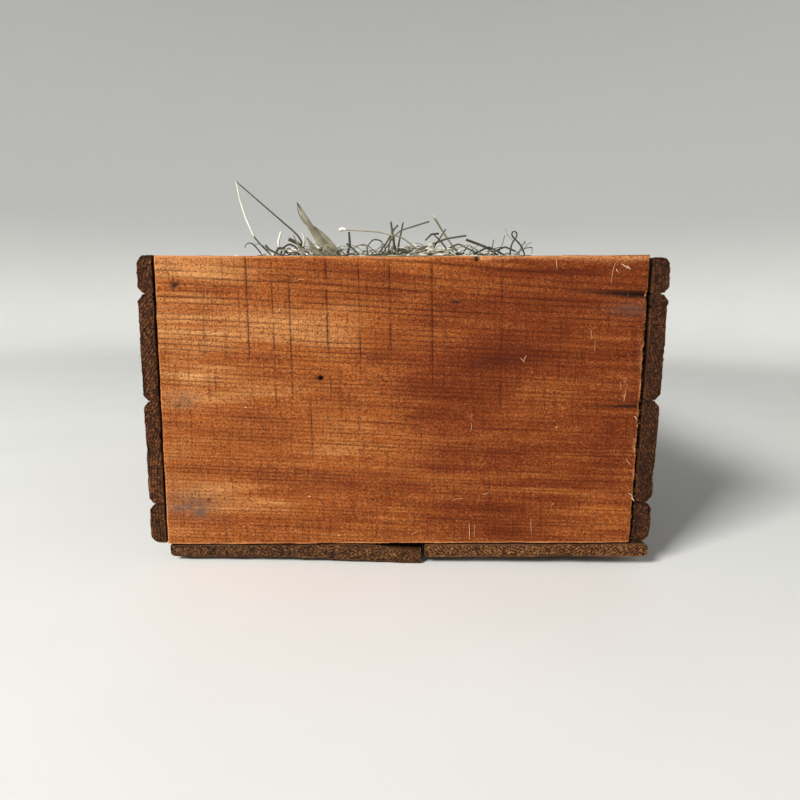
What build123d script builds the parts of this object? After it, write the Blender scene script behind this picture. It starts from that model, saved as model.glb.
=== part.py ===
from build123d import *
import math
import os

os.makedirs("parts", exist_ok=True)

# An insect hotel made from an old nailed crate that lies on its back, so its open front faces up.
# X runs across the crate, Y along it and Z up. Y is lowest at the near end. The origin is the
# middle of the crate at the height of its lowest edge. All sizes are in millimetres.

# The crate's two end panels, each one sawn board.
CRATE_LENGTH = 410.0
END_WIDTH = 304.0
END_HEIGHT = 184.0
END_THICK = 15.0
END_EDGE_WEAR = 1.0

# The long sides: four tongue-and-groove boards each, with a V where two meet.
SIDE_THICK = 11.5
SIDE_GAP = 0.6
SIDE_END_STEP = 0.6
SIDE_TOP_STEP = 1.2
SIDE_FOOT_GAP = 0.9
RIM_STRIP_HEIGHT = 22.3
FOOT_STRIP_HEIGHT = 26.4
V_DEPTH = 3.3
V_RISE = 3.6
V_WEAR = 1.2
OUTER_CORNER_WEAR = 7.0
INNER_CORNER_WEAR = 1.5
TONGUE_THICK = 3.2
TONGUE_HEIGHT = 5.0
TONGUE_FROM_INSIDE = 4.2
TONGUE_CLEARANCE = 0.25
JOINT_GAP = 0.4

# The two bottom boards. The left one has cupped, so its inner edge hangs below the others.
BOTTOM_THICK = 8.4
BOTTOM_SEAT_GAP = 0.4
BOTTOM_SPLIT_AT = 13.9
BOTTOM_SPLIT_GAP = 1.9
BOTTOM_LEFT_STEP = 0.6
BOTTOM_RIGHT_STEP = 1.6
CUP_DROP = 5.2
CUP_TOP_SPAN = 43.0
CUP_UNDER_SPAN = 103.0
CUP_TOP_DROP = 4.9
BOTTOM_CORNER_WEAR = 5.0
BEAD_FROM_EDGE = 11.5
BEAD_GROOVE = 1.4

# Wire nails. Their heads are set just under the wood.
NAIL_SHANK_R = 1.1
NAIL_HEAD_R = 2.8
NAIL_HEAD_THICK = 1.0
NAIL_SUNK = 0.2
NAIL_LENGTH = 35.0
NAIL_CLEARANCE = 0.05
NAIL_HOLE_SPARE = 0.6
NAIL_EDGE_SHARE = 0.24
BOTTOM_NAIL_INSET = 28.0
BOTTOM_NAIL_FROM_SPLIT = 22.0
BOTTOM_NAIL_FROM_CUP = 6.0

# Inside: two cross partitions and one divider make four rooms.
HAY_ROOM_DEPTH = 114.0
PARTITION_THICK = 9.0
PARTITION_DROP = 10.0
PARTITION_CLEARANCE = 0.3
DIVIDER_AT = 0.0
FILL_DROP = 12.0
FILL_CLEARANCE = 0.5

# Hay room: one springy bed of dried grass, with a few stems that stand up out of it.
HAY_CLEARANCE = 1.0
HAY_CROWN_RISE = 1.0
HAY_SHOULDER_DROP = 15.0
HAY_CROWN_LEFT_INSET = 40.0
HAY_CROWN_RIGHT_INSET = 68.0
HAY_SHOULDER_RUN = 26.0
STEM_FROM_PANEL = 20.0
STEM_R = 0.7
BLADE_THICK = 0.8

# Stem room: upright stems in offset rows, some of them hollow bamboo.
STEM_COLUMNS = 9
STEM_ROWS = 8
STEM_GAP = 0.7
STEM_R_SPREAD = 1.1
STEM_HEIGHT_SPREAD = 9.0
CANE_WALL = 3.1
CANE_FLOOR = 50.0
CANE_PLACES = ((1, 1), (1, 5), (2, 3), (3, 6), (4, 1), (4, 4), (6, 2), (6, 6), (7, 4), (8, 1))

# Cone room: fir cones in crossed layers, four and three by turns.
CONE_SIDE_GAP = 4.3
CONE_SLENDERNESS = 1.45
CONE_LAYERS = 4
CONE_LAYER_GAP = 0.4
CONE_TIP_R = 0.16
CONE_STALK_R = 0.3

# Log room: three drilled logs and four strips of bark.
LOG_CLEARANCE = 4.0
MIDDLE_LOG_SHARE = 0.5
LOG_EDGE_WEAR = 1.0
LOG_HOLE_R = 4.0
LOG_HOLE_DEPTH = 105.0
LOG_SMALL_HOLE_R = 2.5
LOG_SMALL_HOLE_DEPTH = 80.0
BARK_THICK = 6.0
BARK_RADIUS = 70.0
BARK_HALF_TURN = 20.0
BARK_FROM_MIDDLE = 28.0
BARK_CLEARANCE = 1.5

# Levels and faces that follow from the sizes above.
BOTTOM_UNDER = CUP_DROP
BOTTOM_TOP = BOTTOM_UNDER + BOTTOM_THICK
END_FOOT = BOTTOM_TOP + BOTTOM_SEAT_GAP
RIM = END_FOOT + END_HEIGHT
SIDE_TOP = RIM - SIDE_TOP_STEP
SIDE_FOOT = BOTTOM_TOP + SIDE_FOOT_GAP
SIDE_INNER = END_WIDTH / 2 + SIDE_GAP
SIDE_OUTER = SIDE_INNER + SIDE_THICK
RIM_JOINT = SIDE_TOP - RIM_STRIP_HEIGHT
LOWER_JOINT = SIDE_FOOT + FOOT_STRIP_HEIGHT
UPPER_JOINT = (RIM_JOINT + LOWER_JOINT) / 2

NEAR_END = -CRATE_LENGTH / 2
FAR_END = CRATE_LENGTH / 2
BOARD_NEAR = NEAR_END + SIDE_END_STEP
BOARD_FAR = FAR_END - SIDE_END_STEP
ROOM_NEAR = NEAR_END + END_THICK
ROOM_FAR = FAR_END - END_THICK
ROOM_DEPTH = (ROOM_FAR - ROOM_NEAR - HAY_ROOM_DEPTH - 2 * PARTITION_THICK) / 2
NEAR_PARTITION = ROOM_NEAR + HAY_ROOM_DEPTH
FAR_PARTITION = NEAR_PARTITION + PARTITION_THICK + ROOM_DEPTH
MIDDLE_ROOM_NEAR = NEAR_PARTITION + PARTITION_THICK
MIDDLE_ROOM_Y = MIDDLE_ROOM_NEAR + ROOM_DEPTH / 2
FAR_ROOM_NEAR = FAR_PARTITION + PARTITION_THICK
FAR_ROOM_Y = FAR_ROOM_NEAR + ROOM_DEPTH / 2
FILL_FLOOR = BOTTOM_TOP + FILL_CLEARANCE
FILL_TOP = RIM - FILL_DROP


def box_between(low, high):
    """A plain block from its lowest corner to its highest."""
    size = [b - a for a, b in zip(low, high)]
    return Pos(*low) * Box(*size, align=(Align.MIN, Align.MIN, Align.MIN))


def along_y(points, start, end):
    """A board with this outline of (x, z) points, running along Y."""
    outline = Polyline(*[(x, start, z) for x, z in points], close=True)
    return extrude(make_face(outline), amount=end - start, dir=(0, 1, 0))


def edges_at(solid, places):
    """The edges along Y that lie nearest these (x, z) places."""
    lengthwise = solid.edges().filter_by(Axis.Y)
    return [
        min(lengthwise, key=lambda e: math.hypot(e.center().X - x, e.center().Z - z))
        for x, z in places
    ]


def wobble(step, spread):
    """A repeatable uneven amount between 0 and spread, different for each step."""
    return spread * (0.5 + 0.5 * math.sin(12.9898 * step + 4.1))


def rod(start, end, radius):
    """A round rod between two points."""
    way = Vector(*end) - Vector(*start)
    base = Plane(origin=start, z_dir=way)
    return base * Cylinder(radius, way.length, align=(Align.CENTER, Align.CENTER, Align.MIN))


# Nails. Each is the point on the wood where its head is set and the way it was driven.
END_NAIL_Y = (NEAR_END + END_THICK / 2, FAR_END - END_THICK / 2)
PARTITION_NAIL_Y = (NEAR_PARTITION + PARTITION_THICK / 2, FAR_PARTITION + PARTITION_THICK / 2)


def shares_of(low, high):
    """Two heights, the same share in from each edge of a board."""
    inset = (high - low) * NAIL_EDGE_SHARE
    return [low + inset, high - inset]


WIDE_BOARD_NAIL_Z = shares_of(UPPER_JOINT, RIM_JOINT) + shares_of(LOWER_JOINT, UPPER_JOINT)
STRIP_NAIL_Z = [(RIM_JOINT + SIDE_TOP) / 2, (SIDE_FOOT + LOWER_JOINT) / 2]
BOTTOM_NAIL_X = [
    -END_WIDTH / 2 + BOTTOM_NAIL_INSET,
    BOTTOM_SPLIT_AT - CUP_UNDER_SPAN - BOTTOM_NAIL_FROM_CUP,
    BOTTOM_SPLIT_AT + BOTTOM_NAIL_FROM_SPLIT,
    (BOTTOM_SPLIT_AT + END_WIDTH / 2) / 2,
    END_WIDTH / 2 - BOTTOM_NAIL_INSET,
]
DIVIDER_NAIL_Z = shares_of(BOTTOM_TOP, RIM - PARTITION_DROP)


def side_nail_places(ys, zs):
    """Nails driven inwards through both long sides."""
    return [((s * SIDE_OUTER, y, z), (-s, 0, 0)) for s in (-1, 1) for y in ys for z in zs]


END_NAILS = side_nail_places(END_NAIL_Y, WIDE_BOARD_NAIL_Z + STRIP_NAIL_Z)
PARTITION_NAILS = side_nail_places(PARTITION_NAIL_Y, WIDE_BOARD_NAIL_Z)
BOTTOM_NAILS = [((x, y, BOTTOM_UNDER), (0, 0, 1)) for y in END_NAIL_Y for x in BOTTOM_NAIL_X]
DIVIDER_NAILS = [((DIVIDER_AT, NEAR_PARTITION, z), (0, 1, 0)) for z in DIVIDER_NAIL_Z] + [
    ((DIVIDER_AT, FAR_ROOM_NEAR, z), (0, -1, 0)) for z in DIVIDER_NAIL_Z
]


def turned_piece(place, way, shank_r, head_r, sunk, head_thick, length):
    """A head and shank on one axis, driven from a point on the wood."""
    base = Plane(origin=place, z_dir=way)
    head = Pos(0, 0, sunk) * Cylinder(head_r, head_thick, align=(Align.CENTER, Align.CENTER, Align.MIN))
    shank = Pos(0, 0, sunk) * Cylinder(shank_r, length, align=(Align.CENTER, Align.CENTER, Align.MIN))
    return base * (head + shank)


def nail(place, way):
    return turned_piece(place, way, NAIL_SHANK_R, NAIL_HEAD_R, NAIL_SUNK, NAIL_HEAD_THICK, NAIL_LENGTH)


def nail_hole(place, way):
    """The room a nail takes up in the wood, open at the face it was driven into."""
    head_room = NAIL_SUNK + NAIL_HEAD_THICK + NAIL_CLEARANCE
    depth = NAIL_SUNK + NAIL_LENGTH + NAIL_HOLE_SPARE
    return turned_piece(
        place, way, NAIL_SHANK_R + NAIL_CLEARANCE, NAIL_HEAD_R + NAIL_CLEARANCE, 0, head_room, depth
    )


def without_nail_holes(piece, nails):
    """The piece with a hole for each of these nails that meets it."""
    reach = piece.bounding_box()
    for place, way in nails:
        hole = nail_hole(place, way)
        if reach.overlaps(hole.bounding_box()):
            piece -= hole
    return piece


def end_panel(outer, inner):
    """One end of the crate: a sawn board whose arrises are slightly worn."""
    half = END_WIDTH / 2
    near, far = sorted((outer, inner))
    panel = box_between((-half, near, END_FOOT), (half, far, RIM))
    panel = chamfer(panel.faces().sort_by(Axis.Y)[0 if outer < inner else -1].edges(), END_EDGE_WEAR)
    return without_nail_holes(panel, END_NAILS + BOTTOM_NAILS)


def side_board(low, high, has_tongue, has_groove):
    """One board of the left side. Its tongue points up and its groove faces down."""
    outer = -SIDE_OUTER
    inner = -SIDE_INNER
    tongue_in = inner - TONGUE_FROM_INSIDE
    tongue_out = tongue_in - TONGUE_THICK
    points = [(inner, low), (inner, high)]
    if has_tongue:
        points += [(tongue_in, high), (tongue_in, high + TONGUE_HEIGHT)]
        points += [(tongue_out, high + TONGUE_HEIGHT), (tongue_out, high)]
        points += [(outer + V_DEPTH, high), (outer, high - V_RISE)]
    else:
        points += [(outer, high)]
    if has_groove:
        groove_top = low + TONGUE_HEIGHT + TONGUE_CLEARANCE
        points += [(outer, low + V_RISE), (outer + V_DEPTH, low)]
        points += [(tongue_out - TONGUE_CLEARANCE, low), (tongue_out - TONGUE_CLEARANCE, groove_top)]
        points += [(tongue_in + TONGUE_CLEARANCE, groove_top), (tongue_in + TONGUE_CLEARANCE, low)]
    else:
        points += [(outer, low)]
    board = along_y(points, BOARD_NEAR, BOARD_FAR)
    v_arrises = []
    if has_tongue:
        v_arrises.append((outer, high - V_RISE))
    if has_groove:
        v_arrises.append((outer, low + V_RISE))
    board = fillet(edges_at(board, v_arrises), V_WEAR)
    if not has_tongue:
        board = fillet(edges_at(board, [(outer, high)]), OUTER_CORNER_WEAR)
        board = fillet(edges_at(board, [(inner, high)]), INNER_CORNER_WEAR)
    if not has_groove:
        board = fillet(edges_at(board, [(outer, low)]), OUTER_CORNER_WEAR)
    return board


SIDE_BOARDS = {
    "rim_strip": (RIM_JOINT, SIDE_TOP, False, True),
    "upper_board": (UPPER_JOINT, RIM_JOINT - JOINT_GAP, True, True),
    "lower_board": (LOWER_JOINT, UPPER_JOINT - JOINT_GAP, True, True),
    "foot_strip": (SIDE_FOOT, LOWER_JOINT - JOINT_GAP, True, False),
}


def side_pieces():
    """The four boards of each long side, the right ones mirrored from the left."""
    pieces = {}
    for name, sizes in SIDE_BOARDS.items():
        board = side_board(*sizes)
        nails = END_NAILS + PARTITION_NAILS
        pieces["left_" + name] = without_nail_holes(board, nails)
        pieces["right_" + name] = without_nail_holes(mirror(board, Plane.YZ), nails)
    return pieces


def left_bottom_board():
    """The cupped board: flat under the left side, then curving down to its free inner edge."""
    outer = -END_WIDTH / 2 + BOTTOM_LEFT_STEP
    edge = BOTTOM_SPLIT_AT - BOTTOM_SPLIT_GAP / 2
    y = BOARD_NEAR
    top_start = (edge - CUP_TOP_SPAN, y, BOTTOM_TOP)
    top_end = (edge, y, BOTTOM_TOP - CUP_TOP_DROP)
    under_start = (edge - CUP_UNDER_SPAN, y, BOTTOM_UNDER)
    under_end = (edge, y, BOTTOM_UNDER - CUP_DROP)
    outline = [
        Line((outer, y, BOTTOM_TOP), top_start),
        Spline(top_start, top_end, tangents=[(1, 0, 0), (1, 0, -0.05)]),
        Line(top_end, under_end),
        Spline(under_end, under_start, tangents=[(-1, 0, 0), (-1, 0, 0)]),
        Line(under_start, (outer, y, BOTTOM_UNDER)),
        Line((outer, y, BOTTOM_UNDER), (outer, y, BOTTOM_TOP)),
    ]
    board = extrude(make_face(outline), amount=BOARD_FAR - BOARD_NEAR, dir=(0, 1, 0))
    board = fillet(edges_at(board, [(outer, BOTTOM_UNDER)]), BOTTOM_CORNER_WEAR)
    groove_x = outer + BEAD_FROM_EDGE
    groove = along_y(
        [
            (groove_x - BEAD_GROOVE, BOTTOM_UNDER),
            (groove_x, BOTTOM_UNDER + BEAD_GROOVE),
            (groove_x + BEAD_GROOVE, BOTTOM_UNDER),
        ],
        BOARD_NEAR,
        BOARD_FAR,
    )
    return without_nail_holes(board - groove, BOTTOM_NAILS)


def right_bottom_board():
    """The flat board, which reaches out under the right side."""
    low = (BOTTOM_SPLIT_AT + BOTTOM_SPLIT_GAP / 2, BOARD_NEAR, BOTTOM_UNDER)
    high = (SIDE_OUTER - BOTTOM_RIGHT_STEP, BOARD_FAR, BOTTOM_TOP)
    return without_nail_holes(box_between(low, high), BOTTOM_NAILS)


def partition(near):
    """A thin board across the crate between two rooms."""
    half = SIDE_INNER - PARTITION_CLEARANCE
    low = (-half, near, BOTTOM_TOP + PARTITION_CLEARANCE)
    high = (half, near + PARTITION_THICK, RIM - PARTITION_DROP)
    return without_nail_holes(box_between(low, high), PARTITION_NAILS + DIVIDER_NAILS)


def divider():
    """The short board that parts the stem room from the cone room."""
    half = PARTITION_THICK / 2
    low = (DIVIDER_AT - half, MIDDLE_ROOM_NEAR + PARTITION_CLEARANCE, BOTTOM_TOP + PARTITION_CLEARANCE)
    high = (DIVIDER_AT + half, FAR_PARTITION - PARTITION_CLEARANCE, RIM - PARTITION_DROP)
    return without_nail_holes(box_between(low, high), DIVIDER_NAILS)


HAY_TOP = RIM + HAY_CROWN_RISE


def hay_bed():
    """The body of packed hay, crowned between its two shoulders."""
    half = SIDE_INNER - HAY_CLEARANCE
    crown_left = HAY_CROWN_LEFT_INSET - half
    crown_right = half - HAY_CROWN_RIGHT_INSET
    shoulder = RIM - HAY_SHOULDER_DROP
    points = [
        (-half, FILL_FLOOR),
        (half, FILL_FLOOR),
        (half, shoulder),
        (crown_right + HAY_SHOULDER_RUN, shoulder),
        (crown_right, HAY_TOP),
        (crown_left, HAY_TOP),
        (crown_left - HAY_SHOULDER_RUN, shoulder),
        (-half, shoulder),
    ]
    return along_y(points, ROOM_NEAR + HAY_CLEARANCE, NEAR_PARTITION - HAY_CLEARANCE)


STALK_Y = ROOM_NEAR + STEM_FROM_PANEL


def over_hay(piece):
    """What is left of a piece above the bed that it grows out of."""
    reach = END_WIDTH
    return piece - box_between((-reach, NEAR_END, 0), (reach, FAR_END, HAY_TOP))


def bent_stalk():
    """One long dry stem that rises to the left and has folded down on itself at its top."""
    root = Vector(-64, STALK_Y + 2, RIM - 4)
    fold = Vector(-108, STALK_Y, RIM + 49)
    knee = Vector(-98.8, STALK_Y - 2, RIM + 13.7)
    tip = Vector(-87, STALK_Y - 3, RIM + 2.6)
    stalk = rod(root, fold, STEM_R) + rod(fold, knee, STEM_R) + rod(knee, tip, STEM_R)
    for joint in (fold, knee):
        stalk += Pos(joint) * Sphere(STEM_R)
    return over_hay(stalk)


def leaf_blades():
    """Two flat blades of grass side by side, leaning to the left."""
    blades = []
    for tip_x, tip_rise, base_x, width, back in ((-68, 36, -40, 6.5, 0), (-58, 27, -31, 3.5, 4)):
        y = STALK_Y + back
        points = [(tip_x, RIM + tip_rise), (base_x - width / 2, RIM), (base_x + width / 2, RIM)]
        blades.append(over_hay(along_y(points, y, y + BLADE_THICK)))
    return blades


def upright_stems():
    """Short cut stems that stand up from the middle of the bed."""
    stems = []
    for foot_x, top_x, rise in ((-12, -7, 24), (4, -2, 21), (2, 18, 24), (35, 22, 27), (58, 45, 12)):
        back = wobble(foot_x, 9)
        foot = Vector(foot_x, STALK_Y + back, RIM - 2)
        top = Vector(top_x, STALK_Y + back, RIM + rise)
        stems.append(over_hay(rod(foot, top, STEM_R)))
    return stems


# Upright stems stand in the room on the left of the divider.
STEM_ROOM_LEFT = -SIDE_INNER
STEM_ROOM_WIDTH = DIVIDER_AT - PARTITION_THICK / 2 - STEM_ROOM_LEFT
STEM_PITCH_X = STEM_ROOM_WIDTH / (STEM_COLUMNS + 0.5)
STEM_PITCH_Y = ROOM_DEPTH / STEM_ROWS
STEM_R_MOST = (min(STEM_PITCH_X, STEM_PITCH_Y) - STEM_GAP) / 2


def stem_place(column, row):
    """Where a stem stands. Every second row is half a stem further right."""
    shift = 0.5 if row % 2 else 0.0
    x = STEM_ROOM_LEFT + (column + 0.5 + shift) * STEM_PITCH_X
    y = MIDDLE_ROOM_NEAR + (row + 0.5) * STEM_PITCH_Y
    return x, y


def bamboo_cane(number, column, row):
    """A hollow cane, open at the top and closed lower down by its own joint."""
    x, y = stem_place(column, row)
    top = FILL_TOP - wobble(number, STEM_HEIGHT_SPREAD)
    cane = rod((x, y, FILL_FLOOR), (x, y, top), STEM_R_MOST)
    bore = rod((x, y, FILL_FLOOR + CANE_FLOOR), (x, y, top), STEM_R_MOST - CANE_WALL)
    return cane - bore


def pithy_stems():
    """The elder and bramble stems, whose soft pith insects dig out for themselves."""
    stems = []
    for row in range(STEM_ROWS):
        for column in range(STEM_COLUMNS):
            if (column, row) in CANE_PLACES:
                continue
            step = column + row * STEM_COLUMNS
            x, y = stem_place(column, row)
            top = FILL_TOP - wobble(step, STEM_HEIGHT_SPREAD)
            stems.append(rod((x, y, FILL_FLOOR), (x, y, top), STEM_R_MOST - wobble(2 * step, STEM_R_SPREAD)))
    return stems


# Cones lie in the room on the right of the divider.
CONE_ROOM_LEFT = DIVIDER_AT + PARTITION_THICK / 2
CONE_ROOM_WIDTH = SIDE_INNER - CONE_ROOM_LEFT
CONE_WIDTH = min(
    CONE_ROOM_WIDTH / 3 - CONE_SIDE_GAP,
    ROOM_DEPTH / 2 - CONE_SIDE_GAP,
    (FILL_TOP - FILL_FLOOR) / CONE_LAYERS - CONE_LAYER_GAP,
)
CONE_LENGTH = min(CONE_WIDTH * CONE_SLENDERNESS, CONE_ROOM_WIDTH / 2 - CONE_SIDE_GAP)


def cone_shape():
    """One cone lying along X: an egg with a blunt stalk end and a narrower tip."""
    half = CONE_LENGTH / 2
    widest = CONE_WIDTH / 2
    stalk = (-half, CONE_STALK_R * widest)
    belly = (-0.2 * half, widest)
    tip = (half, CONE_TIP_R * widest)
    outline = [
        Line((-half, 0), stalk),
        Spline(stalk, belly, tip, tangents=[(0.15, 1), (1, -1.1)]),
        Line(tip, (half, 0)),
        Line((half, 0), (-half, 0)),
    ]
    return revolve(make_face(outline), Axis.X)


def cone_places():
    """Each cone's middle and which way it lies, layer by layer from the floor."""
    middle_x = CONE_ROOM_LEFT + CONE_ROOM_WIDTH / 2
    places = []
    for layer in range(CONE_LAYERS):
        z = FILL_FLOOR + (layer + 0.5) * (CONE_WIDTH + CONE_LAYER_GAP)
        if layer % 2 == 0:
            for side in (-1, 1):
                for end in (-1, 1):
                    x = middle_x + side * CONE_ROOM_WIDTH / 4
                    y = MIDDLE_ROOM_Y + end * ROOM_DEPTH / 4
                    places.append((x, y, z, 0 if side * end > 0 else 180))
        else:
            for step in (-1, 0, 1):
                x = middle_x + step * CONE_ROOM_WIDTH / 3
                places.append((x, MIDDLE_ROOM_Y, z, 90 if step else 270))
    return places


# Logs stand in the far room, one against each side and a thinner one between them.
LOG_D = min(
    (2 * SIDE_INNER - 4 * LOG_CLEARANCE) / (2 + MIDDLE_LOG_SHARE),
    ROOM_DEPTH - 2 * LOG_CLEARANCE,
)
MIDDLE_LOG_D = MIDDLE_LOG_SHARE * LOG_D
LOG_X = SIDE_INNER - LOG_CLEARANCE - LOG_D / 2


def hole_ring(x, y, count, ring_r, turn):
    """Places of holes spread evenly on a circle."""
    steps = [math.radians(turn + 360 / count * i) for i in range(count)]
    return [(x + ring_r * math.cos(a), y + ring_r * math.sin(a)) for a in steps]


def drilled_log(x, diameter, top, large, small):
    """A length of log with nesting holes bored down into its end grain."""
    log = rod((x, FAR_ROOM_Y, FILL_FLOOR), (x, FAR_ROOM_Y, top), diameter / 2)
    log = chamfer(log.faces().sort_by(Axis.Z)[-1].edges(), LOG_EDGE_WEAR)
    for hole_x, hole_y in large:
        log -= rod((hole_x, hole_y, top - LOG_HOLE_DEPTH), (hole_x, hole_y, top), LOG_HOLE_R)
    for hole_x, hole_y in small:
        log -= rod((hole_x, hole_y, top - LOG_SMALL_HOLE_DEPTH), (hole_x, hole_y, top), LOG_SMALL_HOLE_R)
    return log


def log_pieces():
    """The three logs, with large holes inside and small ones further out."""
    y = FAR_ROOM_Y
    large_ring = 0.2 * LOG_D
    small_ring = 0.37 * LOG_D
    left = -LOG_X
    right = LOG_X
    middle_ring = 0.3 * MIDDLE_LOG_D
    return {
        "drilled_log_left": drilled_log(
            left, LOG_D, FILL_TOP, hole_ring(left, y, 5, large_ring, 10), hole_ring(left, y, 9, small_ring, 0)
        ),
        "drilled_log_right": drilled_log(
            right, LOG_D, FILL_TOP - 5, hole_ring(right, y, 5, large_ring, 50), hole_ring(right, y, 8, small_ring, 12)
        ),
        "drilled_log_middle": drilled_log(
            0, MIDDLE_LOG_D, FILL_TOP - 9, [(0, y)], hole_ring(0, y, 5, middle_ring, 30)
        ),
    }


def bark_strip(side, wall):
    """A curved strip of bark that stands against a room's wall, hollow side to the logs."""
    x = side * BARK_FROM_MIDDLE
    wall_y = FAR_ROOM_Y + wall * (ROOM_DEPTH / 2 - BARK_CLEARANCE)
    centre_y = wall_y - wall * BARK_RADIUS
    ring = rod((x, centre_y, FILL_FLOOR), (x, centre_y, FILL_TOP - 6), BARK_RADIUS)
    ring -= rod((x, centre_y, FILL_FLOOR), (x, centre_y, FILL_TOP - 6), BARK_RADIUS - BARK_THICK)
    half = BARK_RADIUS * math.sin(math.radians(BARK_HALF_TURN))
    keep_low = min(centre_y, centre_y + wall * BARK_RADIUS)
    keep = box_between((x - half, keep_low, 0), (x + half, keep_low + BARK_RADIUS, RIM))
    return ring & keep


def write(name, shape):
    """Writes one sub-part. A list of separate solids becomes one group."""
    if isinstance(shape, list):
        shape = Compound(children=[solid for piece in shape for solid in piece.solids()])
    export_step(shape, "parts/" + name + ".step")


def write_crate():
    write("near_end_panel", end_panel(NEAR_END, ROOM_NEAR))
    write("far_end_panel", end_panel(FAR_END, ROOM_FAR))
    for name, board in side_pieces().items():
        write(name, board)
    write("left_bottom_board", left_bottom_board())
    write("right_bottom_board", right_bottom_board())
    write("near_partition", partition(NEAR_PARTITION))
    write("far_partition", partition(FAR_PARTITION))
    write("room_divider", divider())


def write_nails():
    write("side_nails", [nail(*n) for n in END_NAILS])
    write("bottom_nails", [nail(*n) for n in BOTTOM_NAILS])
    write("partition_nails", [nail(*n) for n in PARTITION_NAILS])
    write("divider_nails", [nail(*n) for n in DIVIDER_NAILS])


def write_filling():
    write("hay_bed", hay_bed())
    write("bent_hay_stalk", bent_stalk())
    write("hay_leaf_blades", leaf_blades())
    write("upright_hay_stems", upright_stems())
    write("pithy_stems", pithy_stems())
    for number, (column, row) in enumerate(CANE_PLACES, 1):
        write(f"bamboo_cane_{number}", bamboo_cane(number, column, row))
    for number, (x, y, z, turn) in enumerate(cone_places(), 1):
        write(f"fir_cone_{number}", Pos(x, y, z) * Rot(0, 0, turn) * cone_shape())
    for name, log in log_pieces().items():
        write(name, log)
    for number, (side, wall) in enumerate(((-1, -1), (1, -1), (-1, 1), (1, 1)), 1):
        write(f"bark_strip_{number}", bark_strip(side, wall))


write_crate()
write_nails()
write_filling()
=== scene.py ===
import math

import bpy
import numpy as np
from mathutils import Matrix, Vector


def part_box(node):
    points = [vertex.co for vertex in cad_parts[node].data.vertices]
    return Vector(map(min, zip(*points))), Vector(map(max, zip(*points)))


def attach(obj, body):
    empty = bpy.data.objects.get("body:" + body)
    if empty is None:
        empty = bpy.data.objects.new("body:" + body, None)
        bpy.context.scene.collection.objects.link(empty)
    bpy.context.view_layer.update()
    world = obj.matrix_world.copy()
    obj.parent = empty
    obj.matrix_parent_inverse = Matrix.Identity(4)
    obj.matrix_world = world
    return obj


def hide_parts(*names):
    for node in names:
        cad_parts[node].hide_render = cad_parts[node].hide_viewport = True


# An insect hotel made from an old nailed pine crate that lies on its back, packed with hay,
# stems, bamboo, fir cones, drilled logs and bark. Shapes are worked out in millimetres and
# written to the meshes in metres.

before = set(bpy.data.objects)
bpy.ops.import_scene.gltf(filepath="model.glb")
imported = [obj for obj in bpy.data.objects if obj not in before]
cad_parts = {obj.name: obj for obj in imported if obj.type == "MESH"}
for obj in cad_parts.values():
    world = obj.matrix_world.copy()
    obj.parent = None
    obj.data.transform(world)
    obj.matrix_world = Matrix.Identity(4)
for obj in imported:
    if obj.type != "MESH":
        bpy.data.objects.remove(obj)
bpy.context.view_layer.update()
MM = 0.001
X, Y, Z = 0, 1, 2


def span(node):
    """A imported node's lowest and highest corners, in millimetres."""
    low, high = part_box(node)
    return np.array(low) / MM, np.array(high) / MM


NEAR_PANEL = span("near_end_panel")
FAR_PANEL = span("far_end_panel")
NEAR_PARTITION = span("near_partition")
FAR_PARTITION = span("far_partition")
DIVIDER = span("room_divider")
HAY_BED = span("hay_bed")
NEAR_FACE = NEAR_PANEL[0][Y]
FAR_FACE = FAR_PANEL[1][Y]
RIM = NEAR_PANEL[1][Z]
SIDE_INNER = span("right_upper_board")[0][X]


# ---------------------------------------------------------------------------
# Unevenness that is the same on every run
# ---------------------------------------------------------------------------

# How many random heights one unevenness draws on.
HEIGHTS = 8192


def noise(points, swell, seed, octaves=1):
    """Smooth unevenness from -1 to 1 at these points. One swell is about this many millimetres."""
    table = np.random.default_rng(seed).uniform(-1, 1, HEIGHTS)
    total = np.zeros(len(points))
    reach = 0.0
    strength = 1.0
    at = np.asarray(points, float) / swell + 37.3
    for _ in range(octaves):
        cell = np.floor(at).astype(np.int64)
        part = at - cell
        part = part * part * (3 - 2 * part)
        value = np.zeros(len(at))
        for corner in range(8):
            step = np.array([corner & 1, corner >> 1 & 1, corner >> 2 & 1])
            at_x, at_y, at_z = (cell + step).T
            # Large primes spread neighbouring places over the table.
            key = at_x * 73856093 ^ at_y * 19349663 ^ at_z * 83492791
            share = np.where(step, part, 1 - part).prod(1)
            value += share * table[key & HEIGHTS - 1]
        total += strength * value
        reach += strength
        strength *= 0.5
        at = at * 2.03 + 11.7
    return total / reach * 1.5


def smooth(low, high, value):
    """0 below low, 1 above high and an even swing between them."""
    share = np.clip((value - low) / (high - low), 0, 1)
    return share * share * (3 - 2 * share)


def mound(value, middle, width):
    """1 at the middle, falling off evenly on both sides."""
    return np.exp(-(((value - middle) / width) ** 2))


# ---------------------------------------------------------------------------
# Meshes
# ---------------------------------------------------------------------------

def new_mesh(name, points, faces):
    """A mesh from points in millimetres and a list of arrays of faces."""
    loops = np.concatenate([np.asarray(group).ravel() for group in faces]).astype(np.int32)
    sizes = np.concatenate([np.full(len(group), np.shape(group)[1]) for group in faces])
    starts = np.concatenate([[0], np.cumsum(sizes)[:-1]]).astype(np.int32)
    mesh = bpy.data.meshes.new(name)
    mesh.vertices.add(len(points))
    mesh.vertices.foreach_set("co", (np.asarray(points) * MM).astype(np.float32).ravel())
    mesh.loops.add(len(loops))
    mesh.loops.foreach_set("vertex_index", loops)
    mesh.polygons.add(len(starts))
    mesh.polygons.foreach_set("loop_start", starts)
    mesh.update(calc_edges=True)
    mesh.validate()
    mesh.shade_smooth()
    return mesh


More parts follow.
